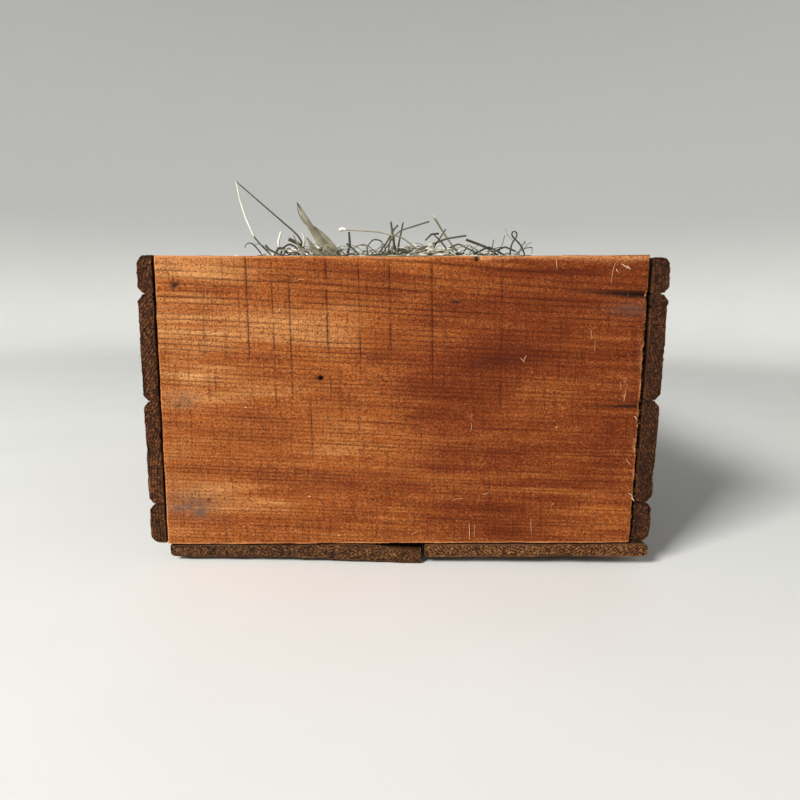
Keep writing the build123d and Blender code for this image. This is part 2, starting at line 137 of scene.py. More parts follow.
def points_of(mesh):
    """A mesh's points, in millimetres."""
    flat = np.empty(len(mesh.vertices) * 3, np.float32)
    mesh.vertices.foreach_get("co", flat)
    return flat.reshape(-1, 3).astype(float) / MM


def normals_of(mesh):
    flat = np.empty(len(mesh.vertices) * 3, np.float32)
    mesh.vertex_normals.foreach_get("vector", flat)
    return flat.reshape(-1, 3).astype(float)


def set_points(mesh, points):
    mesh.vertices.foreach_set("co", (points * MM).astype(np.float32).ravel())
    mesh.update()


def place(name, mesh, material, stands_for=(), marks=None):
    """Puts a mesh in the scene as a piece of the object. Marks are numbers kept at its points."""
    # The materials read these marks as attributes of the same name.
    for mark, values in (marks or {}).items():
        layer = mesh.attributes.new(mark, "FLOAT", "POINT")
        layer.data.foreach_set("value", np.asarray(values, np.float32))
    mesh.materials.append(material)
    made = bpy.data.objects.new(name, mesh)
    bpy.context.scene.collection.objects.link(made)
    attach(made, "root")
    if stands_for:
        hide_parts(*stands_for)


def lattice(lines):
    """The closed skin of a block cut by these three sets of lines: its points and four-sided faces."""
    counts = [len(line) - 1 for line in lines]
    quads = []
    for axis in range(3):
        a, b = [i for i in range(3) if i != axis]
        step_a, step_b = np.meshgrid(np.arange(counts[a]), np.arange(counts[b]), indexing="ij")
        for end in (0, counts[axis]):
            corners = []
            for da, db in ((0, 0), (1, 0), (1, 1), (0, 1)):
                cell = np.zeros(step_a.shape + (3,), np.int64)
                cell[..., a] = step_a + da
                cell[..., b] = step_b + db
                cell[..., axis] = end
                corners.append(cell.reshape(-1, 3))
            quad = np.stack(corners, 1)
            faces_out = (end > 0) == (axis != 1)
            quads.append(quad if faces_out else quad[:, ::-1])
    quads = np.concatenate(quads)
    deep, tall = counts[1] + 1, counts[2] + 1
    key = (quads[..., 0] * deep + quads[..., 1]) * tall + quads[..., 2]
    used, index = np.unique(key, return_inverse=True)
    cells = np.stack([used // (deep * tall), used // tall % deep, used % tall], 1)
    points = np.stack([np.asarray(lines[i])[cells[:, i]] for i in range(3)], 1)
    return points, index.reshape(-1, 4)


# How far in from an arris a board's extra lines lie, so that the worn edge comes out round.
ARRIS_LINES = (0.35, 0.9, 1.7)


def cuts(low, high, step, extra=()):
    """Lines across one side of a board, closer together at its two arrises and at any extra place."""
    inner = np.linspace(low, high, max(2, int(round((high - low) / step)) + 1))
    close = [low + a for a in ARRIS_LINES] + [high - a for a in ARRIS_LINES]
    both = np.unique(np.round(np.concatenate([inner, close, list(extra)]), 3))
    return both[(both >= low) & (both <= high)]


def tubes(paths, radii, sides=5, flat=1.0, twist=0.0, seed=0):
    """Closed rods along many paths at once. Returns points, faces and which path each point is on."""
    paths = np.asarray(paths, float)
    count, steps, _ = paths.shape
    radii = np.broadcast_to(radii, (count, steps))
    ahead = np.gradient(paths, axis=1)
    ahead /= np.linalg.norm(ahead, axis=2, keepdims=True) + 1e-9
    rng = np.random.default_rng(seed)
    lean = rng.normal(size=(count, 1, 3))
    side = np.cross(ahead, lean)
    side /= np.linalg.norm(side, axis=2, keepdims=True) + 1e-9
    up = np.cross(ahead, side)
    turn = np.linspace(0, 2 * math.pi, sides, endpoint=False)
    roll = twist * np.linspace(0, 1, steps)[None, :, None]
    angle = turn[None, None, :] + roll
    across = np.cos(angle)[..., None] * side[:, :, None, :]
    through = flat * np.sin(angle)[..., None] * up[:, :, None, :]
    points = paths[:, :, None, :] + radii[:, :, None, None] * (across + through)
    base = (np.arange(count) * steps * sides)[:, None, None]
    ring = base + (np.arange(steps - 1) * sides)[None, :, None]
    spot = ring + np.arange(sides)[None, None, :]
    after = ring + (np.arange(sides)[None, None, :] + 1) % sides
    quads = np.stack([spot, after, after + sides, spot + sides], -1)
    start = base[:, 0] + np.arange(sides)[::-1][None, :]
    end = base[:, 0] + (steps - 1) * sides + np.arange(sides)[None, :]
    owner = np.repeat(np.arange(count), steps * sides)
    along = np.tile(np.repeat(np.linspace(0, 1, steps), sides), count)
    return points.reshape(-1, 3), [quads.reshape(-1, 4), start, end], owner, along


def grid_points(x, y, z):
    """Points from three arrays of coordinates that spread over one grid."""
    return np.stack(np.broadcast_arrays(x, y, z), -1).reshape(-1, 3)


def ring_faces(rings, sides):
    """The numbers of the points on rings that lie one after the other, the same numbers one point
    further round, and the faces between the rings."""
    index = np.arange(rings * sides).reshape(rings, sides)
    after = np.roll(index, -1, axis=1)
    quads = np.stack([index[:-1], after[:-1], after[1:], index[1:]], -1).reshape(-1, 4)
    return index, after, quads


def sheet_faces(steps, across):
    """Faces of a thin sheet: its front, its back, whose points follow the front's, and its edge."""
    index = np.arange(steps * across).reshape(steps, across)
    corners = [index[:-1, :-1], index[:-1, 1:], index[1:, 1:], index[1:, :-1]]
    front = np.stack(corners, -1).reshape(-1, 4)
    loop = np.concatenate([index[0, :-1], index[:-1, -1], index[-1, :0:-1], index[:0:-1, 0]])
    after = np.roll(loop, -1)
    edge = np.stack([loop, loop + index.size, after + index.size, after], 1)
    return [front, front[:, ::-1] + index.size, edge]


def joined(parts):
    """Several solids as one: their points, their faces and each of their marks."""
    points, faces, *marks = zip(*parts)
    starts = np.cumsum([0] + [len(group) for group in points[:-1]])
    faces = [group + start for solid, start in zip(faces, starts) for group in solid]
    return np.concatenate(points), faces, *[np.concatenate(mark) for mark in marks]


# ---------------------------------------------------------------------------
# Materials
# ---------------------------------------------------------------------------

def colour(code):
    """An sRGB hex colour as the linear values that the shaders take."""
    parts = [int(code[i:i + 2], 16) / 255 for i in (1, 3, 5)]
    return tuple(c / 12.92 if c <= 0.04045 else ((c + 0.055) / 1.055) ** 2.4 for c in parts) + (1.0,)


def add(tree, kind, inputs=None, out=0, ramp=None, **settings):
    """Adds a node with its settings, values and links, and gives back one of its outputs."""
    made = tree.nodes.new(kind)
    for key, value in settings.items():
        setattr(made, key, value)
    if ramp:
        stops = made.color_ramp.elements
        while len(stops) < len(ramp):
            stops.new(0.5)
        for stop, (position, shade) in zip(stops, ramp):
            stop.position = position
            stop.color = colour(shade) if isinstance(shade, str) else (shade, shade, shade, 1)
    for socket, value in (inputs or {}).items():
        if isinstance(value, bpy.types.NodeSocket):
            tree.links.new(value, made.inputs[socket])
        else:
            made.inputs[socket].default_value = value
    return made.outputs[out] if len(made.outputs) else made


def new_material(name):
    material = bpy.data.materials.new(name)
    material.use_nodes = True
    material.node_tree.nodes.clear()
    return material, material.node_tree


def finish_material(tree, base, roughness, height, lift, **plain):
    """Joins colour, roughness and relief to the surface. Lift is the relief's depth in millimetres."""
    normal = add(tree, "ShaderNodeBump", {"Strength": 1.0, "Distance": lift * MM, "Height": height})
    values = {"Base Color": base, "Roughness": roughness, "Normal": normal}
    values.update({key.replace("_", " "): value for key, value in plain.items()})
    shader = add(tree, "ShaderNodeBsdfPrincipled", values)
    add(tree, "ShaderNodeOutputMaterial", {"Surface": shader})


def stretched(tree, axis, across, along):
    """Object coordinates scaled so that one unit is this many millimetres across and along the fibres."""
    at = add(tree, "ShaderNodeTexCoord", out=3)
    size = [1 / (across * MM)] * 3
    size[axis] = 1 / (along * MM)
    return add(tree, "ShaderNodeMapping", {"Vector": at, "Scale": size})


# Where a pine's four shades lie on its scale from dark heart wood to pale sapwood.
PINE_STOPS = (0.0, 0.36, 0.62, 1.0)


def pine(name, axis, shades, end_shades, ring_dark, worn, saw_axis, saw=1.0, ring_depth=0.75, speckle=0.5,
         relief=0.3, gloss=0.3):
    """Sawn pine: fibres along the axis, growth rings, torn flecks and saw marks across. The boards'
    points carry their growth rings (grain), darker heart and, on some boards, painted shade (tone), iron
    stain (stain), worn arris (worn), split and dark end grain, on the right side boards partly painted shade
    (check), end grain (cut) and strong saw marks (groove)."""
    material, tree = new_material(name)
    wood = list(zip(PINE_STOPS, shades))
    marks = {
        key: add(tree, "ShaderNodeAttribute", attribute_name=key, out=2)
        for key in ("grain", "tone", "stain", "worn", "check", "cut", "groove")
    }
    # Slow change of colour over hand-sized areas, longer along the board.
    broad = add(
        tree, "ShaderNodeTexNoise",
        {"Vector": stretched(tree, axis, 26, 110), "Scale": 1.0, "Detail": 3.0, "Roughness": 0.6},
    )
    toned = add(tree, "ShaderNodeMath", {0: marks["tone"], 1: 0.62, 2: broad}, operation="MULTIPLY_ADD")
    base = add(tree, "ShaderNodeValToRGB", {"Fac": toned}, ramp=wood)
    # Growth rings: pale early wood that darkens to a thin hard line of late wood.
    cycle = add(tree, "ShaderNodeMath", {0: marks["grain"]}, operation="FRACT")
    late = add(
        tree, "ShaderNodeValToRGB", {"Fac": cycle},
        ramp=[(0.0, 0.55), (0.1, 0.05), (0.55, 0.1), (0.86, 0.7), (0.95, 1.0), (1.0, 0.6)],
    )
    number = add(tree, "ShaderNodeMath", {0: marks["grain"]}, operation="FLOOR")
    ring_own = add(tree, "ShaderNodeTexWhiteNoise", {"W": number}, noise_dimensions="1D")
    fade = add(
        tree, "ShaderNodeTexNoise", {"Vector": stretched(tree, axis, 5, 55), "Scale": 1.0, "Detail": 2.0},
    )
    fade = add(
        tree, "ShaderNodeMapRange",
        {"Value": fade, "From Min": 0.34, "From Max": 0.56, "To Min": 0.3, "To Max": 1.0},
    )
    ring_own = add(tree, "ShaderNodeMapRange", {"Value": ring_own, "To Min": 0.35, "To Max": 1.0})
    late = add(tree, "ShaderNodeMath", {0: late, 1: fade}, operation="MULTIPLY")
    late = add(tree, "ShaderNodeMath", {0: late, 1: ring_own}, operation="MULTIPLY")
    late_share = add(tree, "ShaderNodeMath", {0: late, 1: ring_depth}, operation="MULTIPLY", use_clamp=True)
    # Torn fibres: short pale and dark flecks, the length of a rough-sawn fibre bundle.
    fleck = add(
        tree, "ShaderNodeTexNoise",
        {"Vector": stretched(tree, axis, 0.9, 1.5), "Scale": 1.0, "Detail": 3.0, "Roughness": 0.8},
    )
    grit = add(
        tree, "ShaderNodeTexNoise",
        {"Vector": stretched(tree, axis, 0.95, 1.1), "Scale": 1.0, "Detail": 3.0, "Roughness": 0.8},
    )
    pale_fleck = add(
        tree, "ShaderNodeMapRange",
        {"Value": fleck, "From Min": 0.5, "From Max": 0.66, "To Max": 0.7 * speckle},
    )
    dark_fleck = add(
        tree, "ShaderNodeMapRange", {"Value": grit, "From Min": 0.53, "From Max": 0.37, "To Max": speckle},
    )
    lifted = add(tree, "ShaderNodeMath", {0: toned, 1: 0.42}, operation="ADD")
    fleck_base = add(tree, "ShaderNodeValToRGB", {"Fac": lifted}, ramp=wood)
    base = add(tree, "ShaderNodeMix", {0: pale_fleck, 6: base, 7: fleck_base}, data_type="RGBA", out=2)
    base = add(
        tree, "ShaderNodeMix", {0: late_share, 6: base, 7: colour(ring_dark)}, data_type="RGBA", out=2,
    )
    base = add(
        tree, "ShaderNodeMix", {0: dark_fleck, 6: base, 7: colour(ring_dark)}, data_type="RGBA", out=2,
    )
    # Saw marks run across the board, a few strong ones and many faint.
    fine_saw = add(
        tree, "ShaderNodeTexNoise",
        {"Vector": stretched(tree, saw_axis, 1.3, 26), "Scale": 1.0, "Detail": 1.0},
    )
    fine_saw = add(
        tree, "ShaderNodeMapRange",
        {"Value": fine_saw, "From Min": 0.43, "From Max": 0.28, "To Max": 0.55 * saw},
    )
    saw_all = add(tree, "ShaderNodeMath", {0: fine_saw, 1: marks["groove"]}, operation="MAXIMUM")
    broken = add(
        tree, "ShaderNodeMapRange",
        {"Value": grit, "From Min": 0.66, "From Max": 0.48, "To Min": 0.4, "To Max": 1.0},
    )
    saw_all = add(tree, "ShaderNodeMath", {0: saw_all, 1: broken}, operation="MULTIPLY")
    base = add(tree, "ShaderNodeMix", {0: saw_all, 6: base, 7: colour(ring_dark)}, data_type="RGBA", out=2)
    # Worn arrises are rubbed back to pale wood; splits and iron stains are dark.
    worn_grit = add(
        tree, "ShaderNodeMapRange",
        {"Value": fleck, "From Min": 0.36, "From Max": 0.6, "To Min": 0.3, "To Max": 1.25},
    )
    worn_edge = add(
        tree, "ShaderNodeMath", {0: marks["worn"], 1: worn_grit}, operation="MULTIPLY", use_clamp=True,
    )
    worn_edge = add(
        tree, "ShaderNodeMapRange",
        {"Value": worn_edge, "From Min": 0.12, "From Max": 0.95, "To Max": 0.92},
    )
    stained = add(tree, "ShaderNodeMath", {0: marks["stain"], 1: 0.8}, operation="MULTIPLY", use_clamp=True)
    base = add(tree, "ShaderNodeMix", {0: stained, 6: base, 7: colour("#5b4a42")}, data_type="RGBA", out=2)
    # End grain: darker, with the rings as arcs and open pores.
    pores = add(
        tree, "ShaderNodeTexVoronoi",
        {"Vector": stretched(tree, axis, 1.3, 1.3), "Scale": 1.0, "Randomness": 1.0},
    )
    end_tone = add(
        tree, "ShaderNodeTexNoise",
        {"Vector": stretched(tree, axis, 1.3, 1.3), "Scale": 1.0, "Detail": 4.0, "Roughness": 0.7},
    )
    end_tone = add(tree, "ShaderNodeMath", {0: late, 1: -0.28, 2: end_tone}, operation="MULTIPLY_ADD")
    end_tone = add(tree, "ShaderNodeMath", {0: pores, 1: 0.22, 2: end_tone}, operation="MULTIPLY_ADD")
    end_base = add(
        tree, "ShaderNodeValToRGB", {"Fac": end_tone},
        ramp=[(0.38, end_shades[0]), (0.56, end_shades[1]), (0.76, end_shades[2])],
    )
    base = add(tree, "ShaderNodeMix", {0: marks["cut"], 6: base, 7: end_base}, data_type="RGBA", out=2)
    base = add(tree, "ShaderNodeMix", {0: worn_edge, 6: base, 7: colour(worn)}, data_type="RGBA", out=2)
    base = add(
        tree, "ShaderNodeMix", {0: marks["check"], 6: base, 7: colour("#1c0d07")}, data_type="RGBA", out=2,
    )
    # Relief: early wood worn hollow, torn fibres standing, saw marks cut in.
    height = add(tree, "ShaderNodeMath", {0: fleck, 1: 0.7, 2: late}, operation="MULTIPLY_ADD")
    height = add(tree, "ShaderNodeMath", {0: grit, 1: 0.9, 2: height}, operation="MULTIPLY_ADD")
    height = add(tree, "ShaderNodeMath", {0: saw_all, 1: -0.9, 2: height}, operation="MULTIPLY_ADD")
    height = add(
        tree, "ShaderNodeMath", {0: marks["cut"], 1: end_tone, 2: height}, operation="MULTIPLY_ADD",
    )
    rough = add(tree, "ShaderNodeMapRange", {"Value": fleck, "To Min": 0.64, "To Max": 0.88})
    finish_material(tree, base, rough, height, relief, Specular_IOR_Level=gloss)
    return material


# Pine varnished once and worn thin: orange where it is dry, red-brown where the heart wood shows.
end_pine = pine(
    "varnished_sawn_pine", X,
    ("#4e1a03", "#7c3409", "#a4561c", "#d6965a"), ("#32190c", "#5f3a1f", "#98704a"), "#421402", "#cf8b57",
    saw_axis=Z, saw=0.7, ring_depth=0.85, speckle=0.85, gloss=0.16,
)
# Bare pine gone brown and grey outdoors, dirty and rough to the touch.
side_pine = pine(
    "weathered_pine", Y,
    ("#1f0f06", "#3c1f0f", "#58331b", "#825a38"), ("#170802", "#3c1c08", "#8e5628"), "#1a0b04", "#9a6c48",
    saw_axis=Z, saw=0.4, speckle=0.42, relief=0.45, gloss=0.18,
)
# The same pine under the crate, browner, with dirt from the ground trodden into it.
bottom_pine = pine(
    "dirty_pine", Y,
    ("#24140a", "#432812", "#613f23", "#8a633e"), ("#1c0c03", "#512b10", "#b07c4a"), "#241005", "#8c6040",
    saw_axis=X, saw=0.5, relief=0.4, gloss=0.18,
)
# New sawn pine, still pale, for the boards between the rooms.
room_pine = pine(
    "bare_sawn_pine", X,
    ("#a87c4c", "#c39a68", "#d6b284", "#e6caa0"), ("#9a7044", "#bf9464", "#dab88c"), "#8a5a30", "#e2c8a0",
    saw_axis=Z, ring_depth=0.5, speckle=0.3,
)


# ---------------------------------------------------------------------------
# Boards
# ---------------------------------------------------------------------------

def growth(points, axis, pith, ring, tilt, seed):
    """How many growth rings out from the pith each point lies. The pith runs along the board and
    tilts away from it by this share."""
    along = points[:, axis]
    a, b = [points[:, i] for i in range(3) if i != axis]
    pull = points.copy()
    pull[:, axis] *= 0.22
    wander = 1.6 * noise(pull, 60, seed, 2) + 0.45 * noise(pull, 13, seed + 1, 2)
    out = np.hypot(a - pith[0], b - pith[1] - tilt * along)
    return (out + wander) / ring


def edge_distance(points, low, high):
    """How far each point on a block's skin is from the nearest arris."""
    gaps = np.sort(np.minimum(points - low, high - points), axis=1)
    return np.hypot(gaps[:, 0], gaps[:, 1])


# How far a board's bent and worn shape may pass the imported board, in millimetres.
BOARD_ALLOWANCE = 2.5


def board(name, node, lines, axis, material, pith, ring, seed, marks, tilt=0.0, bend=None,
          depth=0.22, wear=0.8, rag=0.5):
    """One sawn board: its growth rings stand in relief, its arrises are rubbed and its ends are rough.
    Marks adds this board's own hollows (in millimetres) and colours."""
    low, high = span(node)
    flat, faces = lattice(lines)
    shaped = flat if bend is None else bend(flat.copy())
    mesh = new_mesh(name, shaped, [faces])
    normals = normals_of(mesh)
    rings = growth(shaped, axis, pith, ring, tilt, seed)
    cycle = rings - np.floor(rings)
    hard = smooth(0.55, 0.92, cycle) * (1 - smooth(0.95, 1.0, cycle))
    cut = smooth(0.55, 0.85, np.abs(normals[:, axis]))
    near_edge = edge_distance(
        flat, np.array([cut[0] for cut in lines]), np.array([cut[-1] for cut in lines]),
    )
    rubbed = wear * (0.65 + 0.5 * noise(shaped, 9, seed + 2, 2))
    hollow = depth * (1 - hard) * (0.6 + 0.4 * noise(shaped, 22, seed + 3))
    hollow += cut * rag * (0.5 + 0.5 * noise(shaped, 1.6, seed + 4, 2))
    hollow += rag * 0.35 * np.clip(noise(shaped, 5, seed + 5, 3), 0, 1)
    hollow += np.clip(rubbed, 0, 2) * np.clip(1 - near_edge / 1.6, 0, 1)
    worn = np.clip(1 - near_edge / 1.9, 0, 1) * np.clip(0.7 + 0.7 * noise(shaped, 12, seed + 6, 2), 0, 1)
    found = {"grain": rings, "cut": cut, "worn": worn}
    found.update({key: 0 * cut for key in ("tone", "stain", "check", "groove")})
    hollow += marks(shaped, flat, normals, found)
    shaped = shaped - normals * np.clip(hollow, 0, None)[:, None]
    set_points(mesh, np.clip(shaped, low - BOARD_ALLOWANCE, high + BOARD_ALLOWANCE))
    place(name, mesh, material, (node,), found)


# The near end panel. Places on it are given from its left edge and down from its rim.
PANEL_DEPTH = RIM - NEAR_PANEL[0][Z]
# Strong saw marks: how far from the left edge, from and to below the rim, how dark.
SAW_MARKS = (
    (57, 2, 62, 1.0), (72.5, 4, 95, 0.55), (83, 18, 90, 0.7), (106, 2, 66, 0.9), (113, 70, 110, 0.4),
    (126, 5, 74, 0.75), (145, 4, 62, 1.0), (171, 6, 80, 0.95), (179, 20, 50, 0.35), (214, 2, 96, 0.55),
    (256, 8, 70, 0.4), (94, 92, 124, 0.8), (40, 95, 130, 0.35), (196, 60, 120, 0.3), (30, 20, 60, 0.3),
)
# Darker heart wood: from the left edge, below the rim, half length, half height, how dark, slope down.
HEART = (
    (207, 62, 36, 9, 0.8, 0.05), (205, 103, 34, 7, 0.75, 0.05), (232, 126, 22, 7, 0.45, 0.04),
    (141, 42, 12, 22, 0.4, 0.0), (46, 124, 28, 8, 0.75, 0.06), (70, 135, 50, 2.6, 0.8, 0.06),
    (120, 144, 50, 3.0, 0.75, 0.05), (198, 160, 44, 3.0, 0.9, 0.05), (60, 167, 56, 1.5, 0.95, 0.03),
    (150, 176, 40, 1.6, 0.35, 0.03), (250, 30, 50, 8, 0.45, 0.03), (170, 20, 40, 7, 0.3, 0.04),
    (262, 72, 34, 10, 0.25, 0.03), (90, 92, 16, 10, 0.2, 0.0), (205, 30, 70, 4, 0.3, 0.04),
    (112, 110, 30, 12, 0.25, 0.02), (180, 82, 60, 12, 0.35, 0.04), (285, 110, 20, 8, 0.35, 0.03),
)
# Paler sapwood: from the left edge, below the rim, half length, half height, how pale.
PALE = (
    (14, 50, 24, 70, 0.55), (120, 126, 34, 9, 0.4), (52, 150, 46, 6, 0.35), (232, 146, 40, 8, 0.3),
    (100, 70, 60, 30, 0.2), (300, 175, 30, 12, 0.35), (210, 140, 18, 6, 0.3), (24, 14, 30, 10, 0.4),
)
# Grey stains: from the left edge, below the rim, half length, half height, how dark.
STAINS = (
    (15, 90, 9, 4.5, 0.6), (17, 157, 16, 9.5, 0.6), (22, 163, 4, 3.5, 0.7), (295, 33, 14, 4, 0.65),
    (8, 160, 12, 2.6, 0.5),
)
# Dark pits: from the left edge, below the rim, radius.
PITS = ((11.5, 93, 1.1), (12, 17.5, 1.6), (27.7, 154.5, 1.4))
# Splits that open towards the right arris: from, to, below the rim, slope down, width at the end.
SPLITS = ((250, 304, 21, 0.062, 1.9), (262, 300, 93.5, 0.02, 0.7), (176, 186, 28, 0.02, 0.5))
# Slanting dents: from the left edge, below the rim, heading right and down, length, width, how dark.
DENTS = (
    (13.5, 18.0, 0.75, -0.66, 3.4, 1.0, 0.7), (82, 14.8, 0.95, -0.3, 3.4, 0.6, 0.5),
    (60, 17, 1.0, 0.1, 2.5, 0.5, 0.3),
)
# Rubbed, fuzzy patches: from the left edge, below the rim, half length, half height, how pale.
RUBBED = (
    (273, 47, 1.6, 9, 0.35), (293, 82, 2.4, 12, 0.45), (286, 8, 9, 5, 0.3), (196, 100, 2, 5, 0.3),
    (46, 30, 12, 5, 0.12),
)
# The wormhole, from the left edge and below the rim.
WORMHOLE = (101.1, 75.7)
# The nick in the upper arris and the pale chip beside it, from the left edge.
NICK = 198.3
CHIP = 202.5


def near_panel_marks(points, flat, normals, found):
    """What this one board has lived through: saw marks, splits, stains, a wormhole, dents and scratches. Its
    tone also carries painted shade that darkens it towards the right.
    """
    right = points[:, X] - NEAR_PANEL[0][X]
    down = RIM - points[:, Z]
    column = flat[:, X] - NEAR_PANEL[0][X]
    front = smooth(0.4, 0.9, -normals[:, Y])
    streaks = points * np.array([0.07, 1, 1])
    streaks[:, Z] += 0.045 * points[:, X]
    hollow = np.zeros(len(points))
    for x, top, foot, dark in SAW_MARKS:
        line = mound(column, x, 0.5) * smooth(top - 6, top + 3, down) * (1 - smooth(foot - 6, foot + 6, down))
        line *= 0.8 + 0.4 * noise(points, 7, 77)
        found["groove"] += dark * line * front
        hollow += 0.3 * dark * line * front
    found["groove"] = np.clip(1.25 * found["groove"], 0, 1)
    heart = np.zeros(len(points))
    for x, z, length, height, dark, slope in HEART:
        heart += dark * mound(right, x, length) * mound(down - slope * (right - x), z, height)
    for x, z, length, height, pale in PALE:
        heart -= pale * mound(right, x, length) * mound(down, z, height)
    # The tone darkens towards the right: partly the board's redder heart wood, partly painted shade for the
    # window light falling off across the board.
    across = smooth(20, 290, right)
    streak = noise(streaks, 2.6, 79, 2)
    broken = np.clip(0.7 + 1.0 * streak + 0.3 * noise(points, 14, 78, 2), 0, 2)
    found["tone"] = 0.245 - 0.5 * across - 0.42 * heart * broken
    found["tone"] += 0.34 * streak * (0.5 + 0.5 * across)
    blotch = 0.8 + 0.5 * noise(points, 4, 80, 2)
    for x, z, length, height, dark in STAINS:
        found["stain"] += dark * mound(right, x, length) * mound(down, z, height) * blotch
    for x, z, r in PITS:
        spot = mound(np.hypot(right - x, (down - z) * 0.8), 0, r)
        found["check"] += 0.75 * spot * front
        hollow += 0.5 * spot * front
    stray = 0.5 * noise(points, 9, 81, 2)
    for start, end, z, slope, wide in SPLITS:
        run = smooth(start, end, right)
        middle = z + slope * (right - start) + stray
        within = smooth(start, start + 8, right) * (1 - smooth(end + 1, end + 5, right))
        split = mound(down, middle, 0.25 + wide * run) * within
        found["check"] += front * np.clip(split * (0.45 + 0.7 * run), 0, 1)
        hollow += 1.3 * wide * split * run * front
    worm = np.hypot(right - WORMHOLE[0], down - WORMHOLE[1])
    found["check"] += smooth(1.9, 1.1, worm)
    hollow += 3.2 * smooth(2.1, 1.1, worm) * front
    for x, z, dx, dz, length, wide, dark in DENTS:
        along = (right - x) * dx + (down - z) * dz
        aside = (right - x) * dz - (down - z) * dx
        stroke = mound(along, 0, length) * mound(aside, 0, wide) * front
        found["check"] += dark * stroke
        hollow += 0.7 * stroke
    rubbed = front * (0.6 + 0.7 * noise(points, 2.5, 87, 2))
    for x, z, length, height, pale in RUBBED:
        found["worn"] += pale * mound(right, x, length) * mound(down, z, height) * rubbed
    # The upper arris is rubbed pale and flat, wider towards the right; the right arris is splintered.
    top_wide = 3.0 + 3.4 * smooth(150, 290, right) + 1.8 * noise(points, 17, 82, 2)
    top_wear = smooth(1.0, 0.0, down / top_wide)
    found["worn"] += 0.8 * top_wear * front
    right_edge = NEAR_PANEL[1][X] - flat[:, X]
    fuzz = 1.5 + (1.5 + 6 * np.clip(noise(points, 9, 83, 3), 0, 1)) * smooth(30, 80, down)
    right_wear = smooth(1.0, 0.0, right_edge / fuzz)
    found["worn"] += 0.95 * right_wear
    left_wear = smooth(1.0, 0.0, column / (1.3 + 0.6 * noise(points, 15, 84, 2)))
    found["worn"] += 0.8 * left_wear * front
    foot_wear = smooth(1.0, 0.0, (PANEL_DEPTH - down) / 1.5)
    found["worn"] += 0.7 * foot_wear * front
    hollow += 1.1 * right_wear * np.clip(0.45 + noise(points, 3.2, 85, 3), 0, 2)
    hollow += 0.5 * top_wear * np.clip(0.5 + 0.6 * noise(points, 8, 86, 2), 0, 2)
    shallow = smooth(NEAR_FACE + 6, NEAR_FACE + 3, points[:, Y])
    nick = mound(right, NICK, 0.9) * smooth(4.5, 2.5, down) * shallow
    hollow += 2.6 * nick
    found["check"] += nick
    found["worn"] += mound(right, CHIP, 2.6) * smooth(4, 2, down) * shallow
    for key in ("worn", "check", "stain"):
        found[key] = np.clip(found[key], 0, 1)
    return hollow


def near_panel_bend(points):
    """The board isn't quite square: it leans out at the foot on the left and in on the right."""
    low, high = NEAR_PANEL
    down = (high[Z] - points[:, Z]) / PANEL_DEPTH
    share = (points[:, X] - low[X]) / (high[X] - low[X])
    left = low[X] - 0.6 * down
    right = high[X] + 1.7 - 3.6 * down
    points[:, X] = left + share * (right - left)
    # The saw went through at a slant, and its marks follow it.
    points[:, X] += 0.028 * (down * PANEL_DEPTH - 50) * 4 * share * (1 - share)
    outward = 2 * share - 1
    rim_line = 0.3 + 0.8 * outward ** 2 + 0.2 * outward
    rim_line += 0.35 * noise(points * np.array([1, 0, 0]), 34, 90, 2)
    points[:, Z] += (1 - down) * rim_line
    points[:, Z] -= down * (0.5 + 0.4 * share)
    return points


def saw_lines(low, high, step):
    """Lines across the panel, with three more at each strong saw mark and some at the wormhole and nick."""
    extra = [low + x + d for x, _, _, dark in SAW_MARKS if dark > 0.5 for d in (-0.7, 0.0, 0.7)]
    return cuts(
        low, high, step, extra + [low + x for x in (12, 100, 101, 102, NICK - 0.7, NICK, NICK + 0.7)],
    )


low, high = NEAR_PANEL
board(
    "near_end_board", "near_end_panel",
    (saw_lines(low[X], high[X], 2.3), cuts(low[Y], high[Y], 4), cuts(low[Z], high[Z], 0.78)),
    X, end_pine, (low[Y] + 130, RIM + 62), 2.05, 10, near_panel_marks, tilt=-0.045,
    bend=near_panel_bend, depth=0.28,
)


def torn_fibre():
    """Fibres torn loose from the sawn face: bare pale pine, straw-coloured and matt."""
    material, tree = new_material("torn_pine_fibre")
    at = add(tree, "ShaderNodeTexCoord", out=3)
    shade = add(tree, "ShaderNodeAttribute", attribute_name="shade", out=2)
    streak = add(tree, "ShaderNodeTexNoise", {"Vector": at, "Scale": 1400.0, "Detail": 3.0})
    mixed = add(tree, "ShaderNodeMath", {0: streak, 1: 0.4, 2: shade}, operation="MULTIPLY_ADD")
    base = add(
        tree, "ShaderNodeValToRGB", {"Fac": mixed},
        ramp=[(0.2, "#5c2b10"), (0.5, "#a8673a"), (0.8, "#dca67a"), (1.1, "#f0d3b2")],
    )
    rough = add(tree, "ShaderNodeMapRange", {"Value": streak, "To Min": 0.6, "To Max": 0.9})
    finish_material(tree, base, rough, streak, 0.1)
    return material


